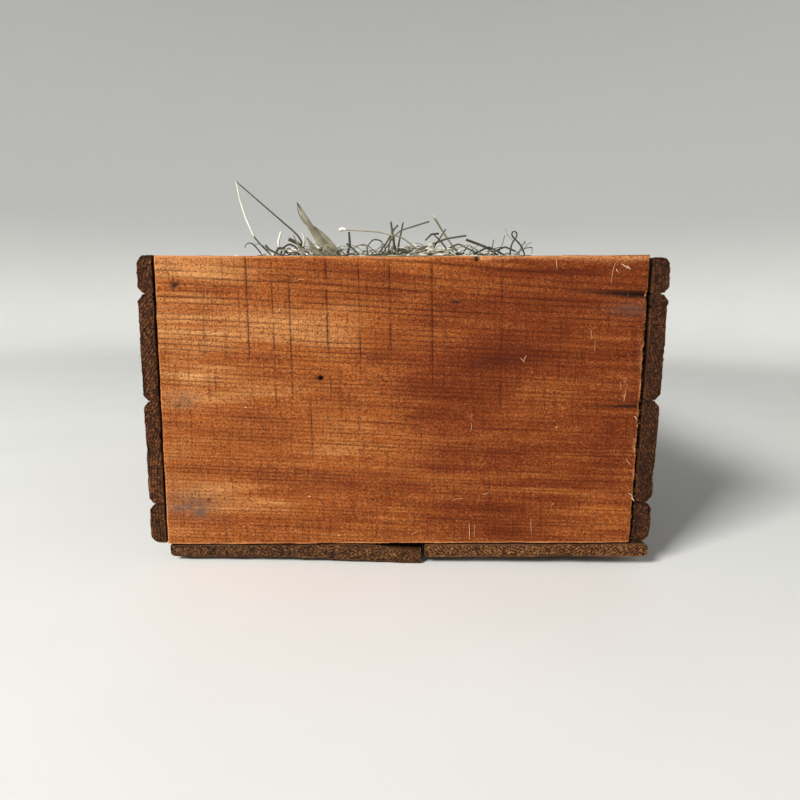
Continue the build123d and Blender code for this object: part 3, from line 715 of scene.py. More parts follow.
# Loose splinters on the near face: from the left edge, below the rim, how far each end reaches
# to the right and down, radius, shade.
SPLINTERS = (
    (84, 16.2, 5.5, -1.6, 0.22, 0.7), (88.5, 14.6, 4.5, 0.6, 0.2, 0.85),
    (283.5, 4.5, -2.2, 13.0, 0.26, 0.75),
    (287.5, 5.2, 4.2, 3.0, 0.5, 1.0), (290.5, 6.0, 2.6, 2.4, 0.55, 1.0), (284.0, 8.0, 1.0, 2.0, 0.3, 0.9),
    (195.8, 170.5, 0.6, 10.5, 0.26, 0.85), (199.4, 171.0, 0.2, 9.5, 0.2, 0.7),
    (236.3, 167.5, 0.4, 11.0, 0.24, 0.75),
    (184.5, 155.5, 5.4, -1.8, 0.24, 0.8), (189.0, 154.0, 3.0, -0.6, 0.3, 0.75),
    (204.0, 151.0, 4.5, -1.6, 0.24, 0.85),
    (226.4, 63.0, 3.0, 2.6, 0.36, 0.85), (230.0, 61.4, -1.8, 4.2, 0.28, 0.8),
    (251, 157, -2.4, 3.0, 0.3, 0.75),
    (92.0, 152.0, 1.6, 0.4, 0.55, 1.0), (137.0, 178.0, 0.8, 0.2, 0.45, 0.95),
    (250, 107.0, 1.2, 0.3, 0.42, 0.9),
    (196.5, 104, -0.6, 6.0, 0.3, 0.7), (158, 186 - 8, 5.0, -2.4, 0.26, 0.7),
    (300, 100, 2.0, 3.0, 0.45, 0.9),
    (298.5, 150.5, 3.6, 2.6, 0.5, 0.9), (301.0, 153.0, 1.8, 3.2, 0.45, 0.95),
    (296, 128, 4.0, 4.2, 0.3, 0.75),
    (53, 93.5, 1.4, 0.6, 0.45, 0.85), (71, 85, 0.8, 0.3, 0.4, 0.8), (76, 33, 1.0, 0.3, 0.4, 0.8),
    (103, 37.4, 1.8, -0.4, 0.42, 0.85),
    (270, 45, 0.8, 7.0, 0.25, 0.6), (273, 52, -0.4, 7.5, 0.25, 0.65), (290, 78, 0.6, 6.0, 0.3, 0.7),
    (293.5, 84, -0.8, 7.0, 0.3, 0.7),
    (176, 3.2, 2.6, 1.2, 0.3, 0.7), (247, 2.6, 0.6, 6.4, 0.3, 0.8), (110.5, 178.5, 1.4, 0.1, 0.5, 0.9),
)


def splinters():
    """Those splinters, and many shorter ones scattered over the face and thick along the right arris."""
    rng = np.random.default_rng(88)
    count = 520
    at_edge = rng.random(count) < 0.3
    right = np.where(at_edge, 303.2 - rng.exponential(1.5, count), rng.uniform(4, 300, count))
    down = rng.uniform(3, 181, count)
    reach = rng.uniform(0.8, 3.0, count)
    heading = np.where(rng.random(count) < 0.75, rng.normal(0.05, 0.35, count), rng.normal(1.5, 0.5, count))
    radius = rng.uniform(0.07, 0.17, count)
    shade = rng.uniform(0.15, 0.6, count)
    small = list(zip(right, down, reach * np.cos(heading), reach * np.sin(heading), radius, shade))
    paths, radii, shades = [], [], []
    run = np.linspace(0, 1, 6)
    for number, (a, b, da, db, wide, pale) in enumerate(list(SPLINTERS) + small):
        x = NEAR_PANEL[0][X] + a + da * run
        z = RIM - (b + db * run)
        bow = 0.12 * math.hypot(da, db) * np.sin(math.pi * run) * math.sin(number)
        # The right arris leans in towards the foot, and the splinters stay on the board.
        x = np.minimum(x, NEAR_PANEL[1][X] + 0.2 - 1.1 * (RIM - z) / PANEL_DEPTH)
        paths.append(np.stack([x - bow * 0.3, NEAR_FACE + 0.22 - 0.25 * run, z + bow], 1))
        radii.append(0.75 * wide * np.sin(math.pi * (0.12 + 0.83 * run)) ** 0.7)
        shades.append(0.85 * pale - 0.08)
    points, faces, owner, _ = tubes(np.array(paths), np.array(radii), 5, 0.6, seed=89)
    mesh = new_mesh("near_board_splinters", points, faces)
    place("near_board_splinters", mesh, torn_fibre(), (), {"shade": np.array(shades)[owner]})


splinters()


def far_panel_marks(points, flat, normals, found):
    """The other end board: the same pine with a knot-free face and faint stains, darker towards its foot,
    with rubbed arrises.
    """
    down = RIM - points[:, Z]
    found["tone"] = 0.12 + 0.25 * noise(points * np.array([0.25, 1, 1]), 24, 91, 2)
    found["tone"] -= 0.15 * smooth(90, PANEL_DEPTH, down)
    found["stain"] = np.clip(0.6 * noise(points, 26, 92, 2) - 0.2, 0, 0.6)
    top_wear = smooth(1.0, 0.0, down / (2.2 + noise(points, 15, 93, 2)))
    found["worn"] = np.clip(found["worn"] + 0.8 * top_wear, 0, 1)
    return np.zeros(len(points))


low, high = FAR_PANEL
board(
    "far_end_board", "far_end_panel",
    (cuts(low[X], high[X], 3), cuts(low[Y], high[Y], 4), cuts(low[Z], high[Z], 1.0)),
    X, end_pine, (high[Y] - 95, RIM + 90), 2.3, 20, far_panel_marks, tilt=0.03,
)

# The sides: tongue-and-groove boards whose outer arrises make a V at each joint. The outer corner
# of the top and bottom boards is rounded by wear.
V_DEPTH = 3.3
V_RISE = 3.6
CORNER = 7.0
TONGUE = 5.0
SIDE_THICK = np.ptp([corner[X] for corner in span("left_rim_strip")])


def side_bend(side, low, high, round_top, round_foot, seed):
    """Gives a side board its V joints, its rounded corner and a ragged, uneven outer face."""
    def bend(points):
        up = points[:, Z] - low[Z]
        down = high[Z] - points[:, Z]
        out = np.abs(points[:, X]) - SIDE_INNER
        thick = high[X] - low[X]
        loss = np.zeros(len(points))
        for gap, is_round in ((down, round_top), (up, round_foot)):
            if is_round:
                arc = CORNER ** 2 - np.clip(CORNER - gap, 0, None) ** 2
                loss = np.maximum(loss, CORNER - np.sqrt(np.clip(arc, 0, None)))
            else:
                loss = np.maximum(loss, V_DEPTH * np.clip(1 - gap / V_RISE, 0, 1) ** 0.8)
        chewed = points * np.array([0, 0.35, 1])
        loss += 0.7 * np.clip(noise(chewed, 8, seed, 3), -0.2, 1)
        loss += 0.5 * np.clip(noise(chewed, 2.4, seed + 1, 2), 0, 1)
        points[:, X] = side * (SIDE_INNER + out / thick * (thick - np.clip(loss, 0, thick - 2)))
        near = smooth(60, 160, -points[:, Y])
        high_up = smooth(RIM - PANEL_DEPTH, RIM, points[:, Z])
        if side > 0:
            points[:, X] += near * (2.4 - 3.6 * (1 - high_up))
        else:
            points[:, X] += near * 1.0 * np.clip(out / thick, 0, 1)
        if round_top:
            points[:, Z] += near * up / (high[Z] - low[Z]) * (2.0 if side < 0 else 0.8)
        points[:, Z] += 0.25 * noise(points * np.array([0, 1, 0]), 45, seed + 2, 2) * (down < 0.01)
        if not round_top:
            # The tongue that goes up into the next board's groove.
            points[:, Z] += 2.6 * mound(out, 5.8, 2.6) * (down < 0.01)
        return points

    return bend


def side_marks(seed, side):
    """What a side board carries: grey and rusty stains, long splits, crumbled ends and bruised corners; on
    the right side also painted shade in a lower tone and darker end grain.
    """
    # The right side boards face away from the window: their lower tone and darker end grain are painted
    # shade.
    tone = 0.05 - (0.12 if side > 0 else 0)
    end_dark, bruised = (0.5, 0.35) if side > 0 else (0.22, 0.8)
    nail_rows = (
        NEAR_FACE + 7.5, FAR_FACE - 7.5, NEAR_PARTITION[0][Y] + 4.5, FAR_PARTITION[0][Y] + 4.5,
    )

    def marks(points, flat, normals, found):
        outer = smooth(0.4, 0.9, side * normals[:, X])
        found["tone"] = tone + 0.4 * noise(points * np.array([1, 0.25, 1]), 18, seed, 2)
        grey = noise(points * np.array([1, 0.3, 1]), 20, seed + 1, 3)
        found["stain"] = np.clip(0.9 * grey - 0.15, 0, 0.7) * outer
        # Rust has run into the wood round each row of nails.
        rust_run = 0.45 * outer * (0.6 + 0.8 * noise(points, 9, seed + 2, 2))
        for y in nail_rows:
            found["stain"] += rust_run * mound(points[:, Y], y, 4.5)
        split = mound(noise(points * np.array([0, 0.06, 1]), 6, seed + 3, 2), 0.55, 0.05)
        split *= 1 - found["cut"]
        found["check"] = np.clip(0.8 * split, 0, 1)
        # At the ends the soft wood has crumbled, so the end grain is pitted.
        crumble = found["cut"] * np.clip(noise(points, 3.4, seed + 4, 3), 0, 1)
        # end_dark darkens all end grain; its larger value on the right side is painted shade.
        found["check"] = np.clip(found["check"] + 0.3 * crumble + end_dark * found["cut"], 0, 1)
        # Bruised, fuzzy wood shows pale along the outer corners of the ends.
        bruise = np.clip(1.5 * noise(points * np.array([1, 0.4, 1]), 7, seed + 5, 2) + 0.2, 0, 1)
        outer_edge = smooth(4.5, 1.0, SIDE_INNER + SIDE_THICK - np.abs(points[:, X]))
        bruise *= np.clip(0.6 + 0.9 * noise(points, 1.8, seed + 6, 2), 0, 1) * bruised
        bruise *= smooth(9, 2, (FAR_FACE - NEAR_FACE) / 2 - np.abs(points[:, Y]))
        found["worn"] = np.clip(0.55 * found["worn"] + bruise * outer_edge, 0, 1)
        return 0.6 * split + 1.3 * crumble

    return marks


# From the rim down: the board, and whether its top and its foot are rounded.
SIDE_BOARDS = (
    ("rim_strip", True, False), ("upper_board", False, False), ("lower_board", False, False),
    ("foot_strip", False, True),
)
for side, word in ((-1, "left"), (1, "right")):
    for number, (part, round_top, round_foot) in enumerate(SIDE_BOARDS):
        node = f"{word}_{part}"
        low, high = span(node)
        if part != "rim_strip":
            high[Z] -= TONGUE - 0.5
        seed = 100 + 17 * number + 7 * side
        pith = (side * (20 + 12 * math.sin(seed)), RIM - 60 - 50 * number + 40 * math.cos(seed))
        board(
            f"{word}_side_{part}", node,
            (cuts(low[X], high[X], 1.2), cuts(low[Y], high[Y], 2.6), cuts(low[Z], high[Z], 1.05)),
            Y, side_pine, pith, 1.9, seed, side_marks(seed, side), tilt=0.01 * side,
            bend=side_bend(side, low, high, round_top, round_foot, seed), depth=0.35, wear=0.7, rag=0.9,
        )


# The two bottom boards. The left one has cupped and hangs lower at its inner edge: how far its foot
# and its top drop there, and how wide the dropped parts are.
CUP_DROP = 5.2
CUP_TOP_DROP = 4.9
CUP_TOP_SPAN = 43.0
CUP_UNDER_SPAN = 103.0
# The radius of the cupped board's outer foot corner.
CUP_CORNER = 4.5


def cupped(points):
    """Bends the left board down towards its inner edge and rounds its outer foot corner."""
    low, high = span("left_bottom_board")
    share = (points[:, Z] - low[Z]) / (high[Z] - low[Z])
    edge = high[X] - points[:, X]
    top = high[Z] - CUP_TOP_DROP * smooth(CUP_TOP_SPAN, 0, edge) ** 1.2
    foot = CUP_DROP * (1 - smooth(CUP_UNDER_SPAN, 0, edge))
    left = points[:, X] - low[X]
    arc = CUP_CORNER ** 2 - np.clip(CUP_CORNER - left, 0, None) ** 2
    foot += CUP_CORNER - np.sqrt(np.clip(arc, 0, None))
    points[:, Z] = foot + share * (top - foot) - 0.5 * smooth(20, 80, edge)
    points[:, Z] += 0.5 * (1 - share) * np.clip(noise(points * np.array([1, 0.4, 0]), 12, 60, 2), 0, 1)
    return points


def flat_bottom(points):
    """Gives the right board a ragged underside and a worn outer corner."""
    low, high = span("right_bottom_board")
    share = (points[:, Z] - low[Z]) / (high[Z] - low[Z])
    left = (points[:, X] - low[X]) / (high[X] - low[X])
    ragged = noise(points * np.array([1, 0.4, 0]), 16, 61, 2)
    points[:, Z] += (1 - share) * (-0.7 - 0.3 * left + 0.45 * ragged) - 0.8
    right = high[X] - points[:, X]
    points[:, Z] += (1 - 2 * share) * 1.6 * smooth(4.0, 0.0, right)
    return points


def bottom_marks(seed, tone, end_dark):
    """What a bottom board carries: its own tone, stains, and crumbled end grain this dark."""
    def marks(points, flat, normals, found):
        found["tone"] = tone + 0.35 * noise(points * np.array([1, 0.25, 1]), 18, seed, 2)
        crumble = found["cut"] * np.clip(noise(points, 2.6, seed + 1, 3), 0, 1)
        found["check"] = np.clip(0.5 * crumble + end_dark * found["cut"], 0, 1)
        found["stain"] = np.clip(0.8 * noise(points, 24, seed + 2, 2), 0, 0.6) * (1 - found["cut"])
        return crumble

    return marks


for node, name, bend, pith_x, seed, tone, end_dark in (
    ("left_bottom_board", "left_bottom_cupped_board", cupped, -60, 300, -0.05, 0.42),
    ("right_bottom_board", "right_bottom_flat_board", flat_bottom, 90, 320, 0.12, 0.16),
):
    low, high = span(node)
    board(
        name, node, (cuts(low[X], high[X], 1.5), cuts(low[Y], high[Y], 4), cuts(low[Z], high[Z], 1.0)),
        Y, bottom_pine, (pith_x, 62), 1.9, seed, bottom_marks(seed, tone, end_dark),
        bend=bend, depth=0.3, wear=0.6, rag=0.8,
    )


def room_marks(seed):
    """The boards between the rooms are thinner and newer than the crate, with a few faint stains."""
    def marks(points, flat, normals, found):
        found["tone"] = 0.1 + 0.3 * noise(points, 30, seed, 2)
        found["stain"] = np.clip(0.5 * noise(points, 22, seed + 1, 2) - 0.1, 0, 0.4)
        return np.zeros(len(points))

    return marks


for node, name, axis, pith, seed in (
    ("near_partition", "near_partition_board", X, (NEAR_PARTITION[0][Y] + 80, RIM - 240), 400),
    ("far_partition", "far_partition_board", X, (FAR_PARTITION[0][Y] - 70, RIM + 40), 420),
    ("room_divider", "room_divider_board", Y, (75, RIM + 30), 440),
):
    low, high = span(node)
    board(
        name, node,
        (cuts(low[X], high[X], 3.2), cuts(low[Y], high[Y], 3.2), cuts(low[Z], high[Z], 1.8)),
        axis, room_pine, pith, 2.6, seed, room_marks(seed), depth=0.12, wear=0.5,
        rag=0.4,
    )


# ---------------------------------------------------------------------------
# Nails
# ---------------------------------------------------------------------------

def rusty_steel():
    """Wire nails left out in the rain: dull grey steel under patchy orange-brown rust, rough."""
    material, tree = new_material("rusty_wire_nail_steel")
    at = add(tree, "ShaderNodeTexCoord", out=3)
    patch = add(tree, "ShaderNodeTexNoise", {"Vector": at, "Scale": 900.0, "Detail": 4.0, "Roughness": 0.7})
    fine = add(tree, "ShaderNodeTexNoise", {"Vector": at, "Scale": 3000.0, "Detail": 2.0})
    base = add(
        tree, "ShaderNodeValToRGB", {"Fac": patch},
        ramp=[(0.35, "#3b3531"), (0.5, "#55301c"), (0.62, "#7c4220"), (0.78, "#9a5a2c")],
    )
    metal = add(
        tree, "ShaderNodeMapRange",
        {"Value": patch, "From Min": 0.38, "From Max": 0.52, "To Min": 0.85, "To Max": 0.1},
    )
    rough = add(
        tree, "ShaderNodeMapRange",
        {"Value": patch, "From Min": 0.35, "From Max": 0.6, "To Min": 0.5, "To Max": 0.9},
    )
    finish_material(tree, base, rough, fine, 0.15, Metallic=metal)
    return material


# A wire nail from the middle of its head to the part of its shank that is modelled: radius, height.
HEAD_RADIUS = 2.8
NAIL_PROFILE = (
    (0.0, 0.12), (1.2, 0.11), (2.1, 0.05), (2.65, -0.12), (HEAD_RADIUS, -0.45), (2.7, -0.9),
    (1.1, -1.1), (1.1, -6.0),
)


def nail_heads(name, node, places, ways, material):
    """Round wire-nail heads, slightly domed and hammered, with the first part of their shanks."""
    sides = 20
    turn = np.linspace(0, 2 * math.pi, sides, endpoint=False)
    points, quads = [], []
    for number, (spot, way) in enumerate(zip(places, ways)):
        out = -np.array(way, float)
        side = np.cross(out, [0.31, 0.52, 0.79])
        side /= np.linalg.norm(side)
        up = np.cross(out, side)
        start = len(points) * sides
        for r, rise in NAIL_PROFILE:
            dent = 0.08 * np.sin(3 * turn + number) * (r > 2)
            tip = 0.06 * np.sin(turn + 2 * number) * (r < 2.7) * r / HEAD_RADIUS
            aside = np.cos(turn)[:, None] * side + np.sin(turn)[:, None] * up
            points.append(spot + (r + dent)[:, None] * aside + (rise + tip)[:, None] * out)
        quads.append(ring_faces(len(NAIL_PROFILE), sides)[2][:, [0, 3, 2, 1]] + start)
    mesh = new_mesh(name, np.concatenate(points), [np.concatenate(quads)])
    place(name, mesh, material, (node,))


# Points of one nail lie within these distances of each other, across and along it.
SAME_NAIL_ACROSS = 7.0
SAME_NAIL_ALONG = 60.0


def clusters(node, way_axis):
    """Where a packed group's nails are: each nail's box, found by walking its points in order."""
    flat = points_of(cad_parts[node].data)
    keep = [i for i in range(3) if i != way_axis]
    found = []
    for point in flat[np.lexsort(np.round(flat[:, keep], 1).T)]:
        for group in found:
            across = np.abs(group[-1][keep] - point[keep]).max()
            along = abs(group[0][way_axis] - point[way_axis])
            if across < SAME_NAIL_ACROSS and along < SAME_NAIL_ALONG:
                group.append(point)
                break
        else:
            found.append([point])
    return [(np.min(g, 0), np.max(g, 0)) for g in found]


rust = rusty_steel()
for node, axis in (("side_nails", X), ("partition_nails", X), ("bottom_nails", Z), ("divider_nails", Y)):
    places, ways = [], []
    for low, high in clusters(node, axis):
        middle = (low + high) / 2
        # The nails under the crate point up, and all others point to its middle.
        inwards = 1.0 if axis == Z else -np.sign(middle[axis])
        way = np.zeros(3)
        way[axis] = inwards
        head = middle.copy()
        head[axis] = (low if inwards > 0 else high)[axis]
        places.append(head + 0.1 * way)
        ways.append(way)
    nail_heads(node + "_rusty", node, places, ways, rust)


# ---------------------------------------------------------------------------
# Hay
# ---------------------------------------------------------------------------

def dried_grass():
    """Dried meadow grass: grey-green, straw and olive strands with a dry waxy skin and fine ribs."""
    material, tree = new_material("dried_meadow_grass")
    shade = add(tree, "ShaderNodeAttribute", attribute_name="shade", out=2)
    at = add(tree, "ShaderNodeTexCoord", out=3)
    mottle = add(tree, "ShaderNodeTexNoise", {"Vector": at, "Scale": 160.0, "Detail": 3.0})
    rib = add(tree, "ShaderNodeTexNoise", {"Vector": at, "Scale": 1900.0, "Detail": 2.0})
    mixed = add(tree, "ShaderNodeMath", {0: mottle, 1: 0.35, 2: shade}, operation="MULTIPLY_ADD")
    mixed = add(tree, "ShaderNodeMath", {0: mixed, 1: 0.175}, operation="SUBTRACT")
    straw = [
        (0.0, "#211f17"), (0.2, "#444131"), (0.42, "#716b54"), (0.64, "#9b9580"), (0.84, "#cfc9b5"),
        (1.0, "#f2eee2"),
    ]
    base = add(tree, "ShaderNodeValToRGB", {"Fac": mixed}, ramp=straw)
    rough = add(tree, "ShaderNodeMapRange", {"Value": rib, "To Min": 0.45, "To Max": 0.75})
    finish_material(tree, base, rough, rib, 0.12, Specular_IOR_Level=0.4)
    return material


grass = dried_grass()
HAY_LOW, HAY_HIGH = HAY_BED
CROWN = HAY_HIGH[Z]
crown_points = points_of(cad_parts["hay_bed"].data)
crown_points = crown_points[crown_points[:, Z] > CROWN - 0.1]
CROWN_LEFT, CROWN_RIGHT = crown_points[:, X].min(), crown_points[:, X].max()
SHOULDER_DROP = 15.0
SHOULDER_RUN = 26.0


def hay_top(x, y):
    """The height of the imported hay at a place: a crown with lower shoulders at both sides."""
    rise = smooth(CROWN_LEFT - SHOULDER_RUN, CROWN_LEFT + 4, x)
    rise *= smooth(CROWN_RIGHT + SHOULDER_RUN, CROWN_RIGHT - 4, x)
    lump = noise(np.stack([x, y, 0 * x], 1), 24, 500, 2)
    return CROWN - SHOULDER_DROP * (1 - rise) - 2.0 + 1.8 * lump


def hay_core():
    """The dense body of the hay, coloured darker than the loose strands that cover it as painted shade
    between them.
    """
    lines = [np.linspace(HAY_LOW[i] + 1, HAY_HIGH[i] - 1, n) for i, n in ((X, 150), (Y, 60), (Z, 14))]
    points, faces = lattice(lines)
    share = (points[:, Z] - HAY_LOW[Z] - 1) / (HAY_HIGH[Z] - HAY_LOW[Z] - 2)
    top = hay_top(points[:, X], points[:, Y]) - 3.0 + 1.6 * noise(points * np.array([1, 1, 0]), 4, 501, 3)
    points[:, Z] = HAY_LOW[Z] + 1 + share * (np.minimum(top, CROWN) - HAY_LOW[Z] - 1)
    # The core's low shade is painted shade for the gaps deep in the hay.
    shade = 0.3 + 0.3 * noise(points * np.array([0.3, 1, 1]), 3, 502, 3)
    mesh = new_mesh("hay_packed_core", points, [faces])
    place("hay_packed_core", mesh, grass, ("hay_bed",), {"shade": shade})


def loose_hay(name, count, seed, lift, length, radius, flat):
    """Many bent strands lying over each other on the bed, most of them nearly level."""
    rng = np.random.default_rng(seed)
    steps = 9
    share = np.linspace(-0.5, 0.5, steps)[None, :]
    x = rng.uniform(HAY_LOW[X] + 3, HAY_HIGH[X] - 3, count)
    y = rng.uniform(HAY_LOW[Y] + 2, HAY_HIGH[Y] - 2, count)
    heading = rng.normal(0, 0.75, count) + np.where(rng.random(count) < 0.3, math.pi / 2, 0)
    reach = rng.uniform(*length, count)
    curl = rng.normal(0, 1.1, count)
    pitch = rng.normal(0, 0.09, count)
    bow = rng.normal(0, 0.06, count) * reach
    wave = rng.uniform(0, 6.3, count)
    bearing = heading[:, None] + curl[:, None] * share
    step_x = np.cos(bearing) * reach[:, None] / (steps - 1)
    step_y = np.sin(bearing) * reach[:, None] / (steps - 1)
    path_x = x[:, None] + np.cumsum(step_x, 1) - step_x.sum(1, keepdims=True) / 2
    path_y = y[:, None] + np.cumsum(step_y, 1) - step_y.sum(1, keepdims=True) / 2
    path_x = np.clip(path_x, HAY_LOW[X] + 0.8, HAY_HIGH[X] - 0.8)
    path_y = np.clip(path_y, HAY_LOW[Y] + 0.6, HAY_HIGH[Y] - 0.6)
    ground = hay_top(path_x.ravel(), path_y.ravel()).reshape(path_x.shape)
    height = rng.uniform(-lift[0], lift[1], count)[:, None]
    path_z = ground + height + reach[:, None] * pitch[:, None] * share + bow[:, None] * (1 - 4 * share ** 2)
    path_z += 0.7 * np.sin(wave[:, None] + 5 * share)
    # Beside the crate's sides no strand stands up.
    edge_room = np.minimum(path_x - HAY_LOW[X], HAY_HIGH[X] - path_x)
    path_z = np.where(edge_room < 12, np.minimum(path_z, ground + 4), path_z)
    # Only the crown reaches over the rim, and it rises away from the near panel.
    over = 0.6 + 0.045 * (path_y - HAY_LOW[Y])
    inside = smooth(CROWN_LEFT + 10, CROWN_LEFT + 24, path_x)
    inside *= smooth(CROWN_RIGHT + 3, CROWN_RIGHT - 6, path_x)
    path_z = np.minimum(path_z, RIM - 3 + (3 + over) * inside)
    thick = rng.uniform(*radius, count)[:, None] * (1 - 0.7 * np.abs(2 * share) ** 3)
    paths = np.stack([path_x, path_y, path_z], -1)
    points, faces, owner, along = tubes(paths, thick, 4, flat, twist=rng.uniform(0, 2), seed=seed)
    own = np.clip(rng.beta(1.4, 1.8, count), 0, 1)
    shade = own[owner] + 0.1 * (along - 0.5)
    place(name, new_mesh(name, points, faces), grass, (), {"shade": shade})


hay_core()
loose_hay("hay_strands_fine", 2600, 510, (5, 3.5), (22, 80), (0.22, 0.5), 1.0)
loose_hay("hay_strands_blades", 1500, 511, (5, 2.5), (18, 70), (0.5, 1.3), 0.22)
loose_hay("hay_strands_stalks", 420, 512, (4, 3.5), (40, 110), (0.5, 0.85), 1.0)

# How deep behind the near panel the tall stems stand.
STALK_Y = HAY_LOW[Y] + 19.0


def curve_through(knots, steps=24):
    """A smooth line through these points, evenly stepped."""
    knots = np.asarray(knots, float)
    run = np.concatenate([[0], np.cumsum(np.linalg.norm(np.diff(knots, axis=0), axis=1))])
    fine = np.linspace(0, run[-1], steps)
    plain = np.stack([np.interp(fine, run, knots[:, i]) for i in range(3)], 1)
    for _ in range(2):
        plain[1:-1] = (plain[:-2] + 2 * plain[1:-1] + plain[2:]) / 4
    return plain


def above(*knots):
    """Points given as (x, height over the rim, further back), at the depth where the tall stems stand."""
    return [(k[0], STALK_Y + (k[2] if len(k) > 2 else 0), RIM + k[1]) for k in knots]


# The stems that stand out of the hay: knots, radius at foot and tip, shade from dark to pale.
TALL_STEMS = (
    (above((-62, -8, 2), (-66, 13.7), (-85, 30), (-107.4, 49.4)), 0.62, 0.34, 0.22),
    (above((-107.4, 49.6), (-105.4, 38), (-101.8, 26), (-96.6, 13.9)), 0.34, 0.62, 0.93),
    (above((-96.7, 14.0), (-91.7, 8.2), (-86.2, 2.6), (-81, -4)), 0.5, 0.45, 0.2),
    (above((-80, 2, 2), (-81, 11), (-79.0, 17.4)), 0.8, 0.55, 0.95),
    (above((-7, 0, 3), (-4, 15.1), (-13, 17.5), (-25, 18.3), (-38, 19)), 0.7, 0.45, 0.7),
    (above((-36.5, 18.8), (-38.4, 19.3), (-40.6, 18.6)), 0.9, 1.1, 1.0),
    (above((-2, -2, 3), (-5, 12), (-6.7, 24.1)), 0.75, 0.5, 0.25),
    (above((-3, -4, 6), (-1.5, 10), (1.4, 23.6)), 0.7, 0.4, 0.22),
    (above((-12, 4, 2), (-6, 13), (-0.7, 18.3), (18.5, 24.2)), 0.45, 0.55, 0.35),
    (above((46, -2, 2), (35.9, 6.1), (28, 17), (21.8, 26.8)), 0.6, 0.62, 0.48),
    (above((23.0, 25.6), (21.6, 27.6), (21.1, 28.4)), 0.7, 0.5, 0.8),
    (above((10, 6, 2), (18, 8.5), (30, 13.2), (43.2, 15.2)), 0.85, 0.6, 0.3),
    (above((18, 1, 3), (24, 11), (29.5, 19.3)), 0.45, 0.4, 0.3),
    (above((33, 3), (25.9, 12), (22.0, 15.5)), 0.6, 0.4, 0.25),
    (above((43, 12.6), (52, 9.4), (59.3, 6.1), (66, 1)), 0.7, 0.6, 0.25),
    (above((60, 2), (60.5, 8), (61.4, 12.6)), 0.35, 0.3, 0.3),
    (above((64, 3), (67, 9), (68.7, 15.5)), 0.28, 0.22, 0.35),
    (above((72, -3), (72.6, 6), (73.6, 12), (76.9, 13.5), (77.4, 17.4), (74.4, 19.2), (72.0, 16.6),
           (74.2, 13.7), (79, 10), (82.4, 3), (82.6, -3)), 0.55, 0.45, 0.2),
    (above((74, 12), (70, 16), (68.8, 20)), 0.22, 0.2, 0.6),
    (above((80, 5), (84, 9.5), (86.5, 11.0)), 0.2, 0.2, 0.3),
    (above((-90, 9, 4), (-87, 6), (-81, 3), (-76, 2)), 0.7, 0.5, 0.28),
    (above((-84, 2), (-81, 7.5), (-78, 6.8), (-75, 3.5)), 0.55, 0.5, 0.3),
    (above((-80, 1), (-78.5, 6.5), (-74, 9.8), (-69, 7.5), (-67.5, 1)), 0.6, 0.55, 0.18),
    (above((-74, 12.8), (-68, 10.0), (-62, 4), (-60, 0)), 1.3, 0.9, 0.2),
    (above((-66, 4), (-63.5, 12), (-64.8, 16.6)), 0.9, 0.6, 0.85),
    (above((-36, 1), (-33.8, 9.5), (-34.3, 17.5)), 0.9, 0.6, 0.12),
    (above((-36, 10), (-31, 6), (-26, 1)), 0.6, 0.5, 0.2),
    (above((-22, 1), (-22.6, 8), (-18.5, 12.8), (-13, 12), (-10, 6), (-10, 1)), 0.45, 0.45, 0.32),
    (above((-9, 2), (-7, 13), (-5.5, 20)), 0.5, 0.4, 0.3),
    (above((-16, 2), (-10, 10), (-4, 20), (-2, 21.8)), 0.5, 0.5, 0.28),
    (above((-5, 16), (2, 13), (10, 7), (16, 2)), 0.6, 0.5, 0.6),
    (above((6, 2), (14, 7), (24, 3)), 0.6, 0.5, 0.35),
    (above((26, 4), (38, 10), (50, 4)), 0.5, 0.5, 0.25),
    (above((48, 3), (58, 8), (70, 2)), 0.6, 0.5, 0.22),
    (above((16, 12), (20, 16), (25, 16.5)), 0.5, 0.6, 0.2),
    (above((62, 5), (69, 8), (76, 5)), 0.5, 0.5, 0.3),
    (above((-58, 3), (-50, 9), (-42, 4)), 0.5, 0.5, 0.45),
)
paths = [curve_through(knots) for knots, _, _, _ in TALL_STEMS]
radii = [1.2 * np.linspace(foot, tip, len(paths[0])) for _, foot, tip, _ in TALL_STEMS]
points, faces, owner, _ = tubes(np.array(paths), np.array(radii), 8, 0.8, seed=530)
shade = np.array([1.1 * pale - 0.08 for _, _, _, pale in TALL_STEMS])[owner]
place("hay_tall_stems", new_mesh("hay_tall_stems", points, faces), grass,
      ("bent_hay_stalk", "upright_hay_stems"), {"shade": shade})


LEAF_THICK = 0.35


def leaf_blade(tip, base, width, back, fold, seed, pale=0.0):
    """One flat grass leaf with a folded midrib, ribs along it and a frayed, curled edge."""
    long_steps, wide_steps = 36, 9
    run = np.linspace(0, 1, long_steps)[:, None]
    side = np.linspace(-1, 1, wide_steps)[None, :]
    tip, base = np.array(tip, float), np.array(base, float)
    ahead = (tip - base) / np.linalg.norm(tip - base)
    across = np.array([-ahead[1], ahead[0]])
    half = width / 2 * (1 - run ** 1.6) ** 0.8 * (0.75 + 0.25 * np.sin(3 * run + seed))
    bow = 1.6 * np.sin(math.pi * run) * (1 if seed % 2 else -1)
    flat_x = base[0] + run * (tip - base)[0] + across[0] * (half * side + bow)
    flat_z = base[1] + run * (tip - base)[1] + across[1] * (half * side + bow)
    depth = STALK_Y + back + fold * np.abs(side) * half - 0.9 * run * width / 4
    depth = depth + 0.2 * np.sin(9 * side + seed)
    front = grid_points(flat_x, depth, RIM + flat_z)
    rear = front + np.array([0, LEAF_THICK, 0])
    rib = 0.5 + 0.5 * np.sin(side * 11 + seed)
    mottle = noise(front * np.array([0.3, 1, 0.3]), 3, seed, 2).reshape(long_steps, wide_steps)
    shade = 0.38 + 0.36 * rib + 0.15 * mottle
    shade += pale - 0.45 * smooth(0.86, 1.0, run)
    return np.concatenate([front, rear]), sheet_faces(long_steps, wide_steps), np.tile(shade.ravel(), 2)


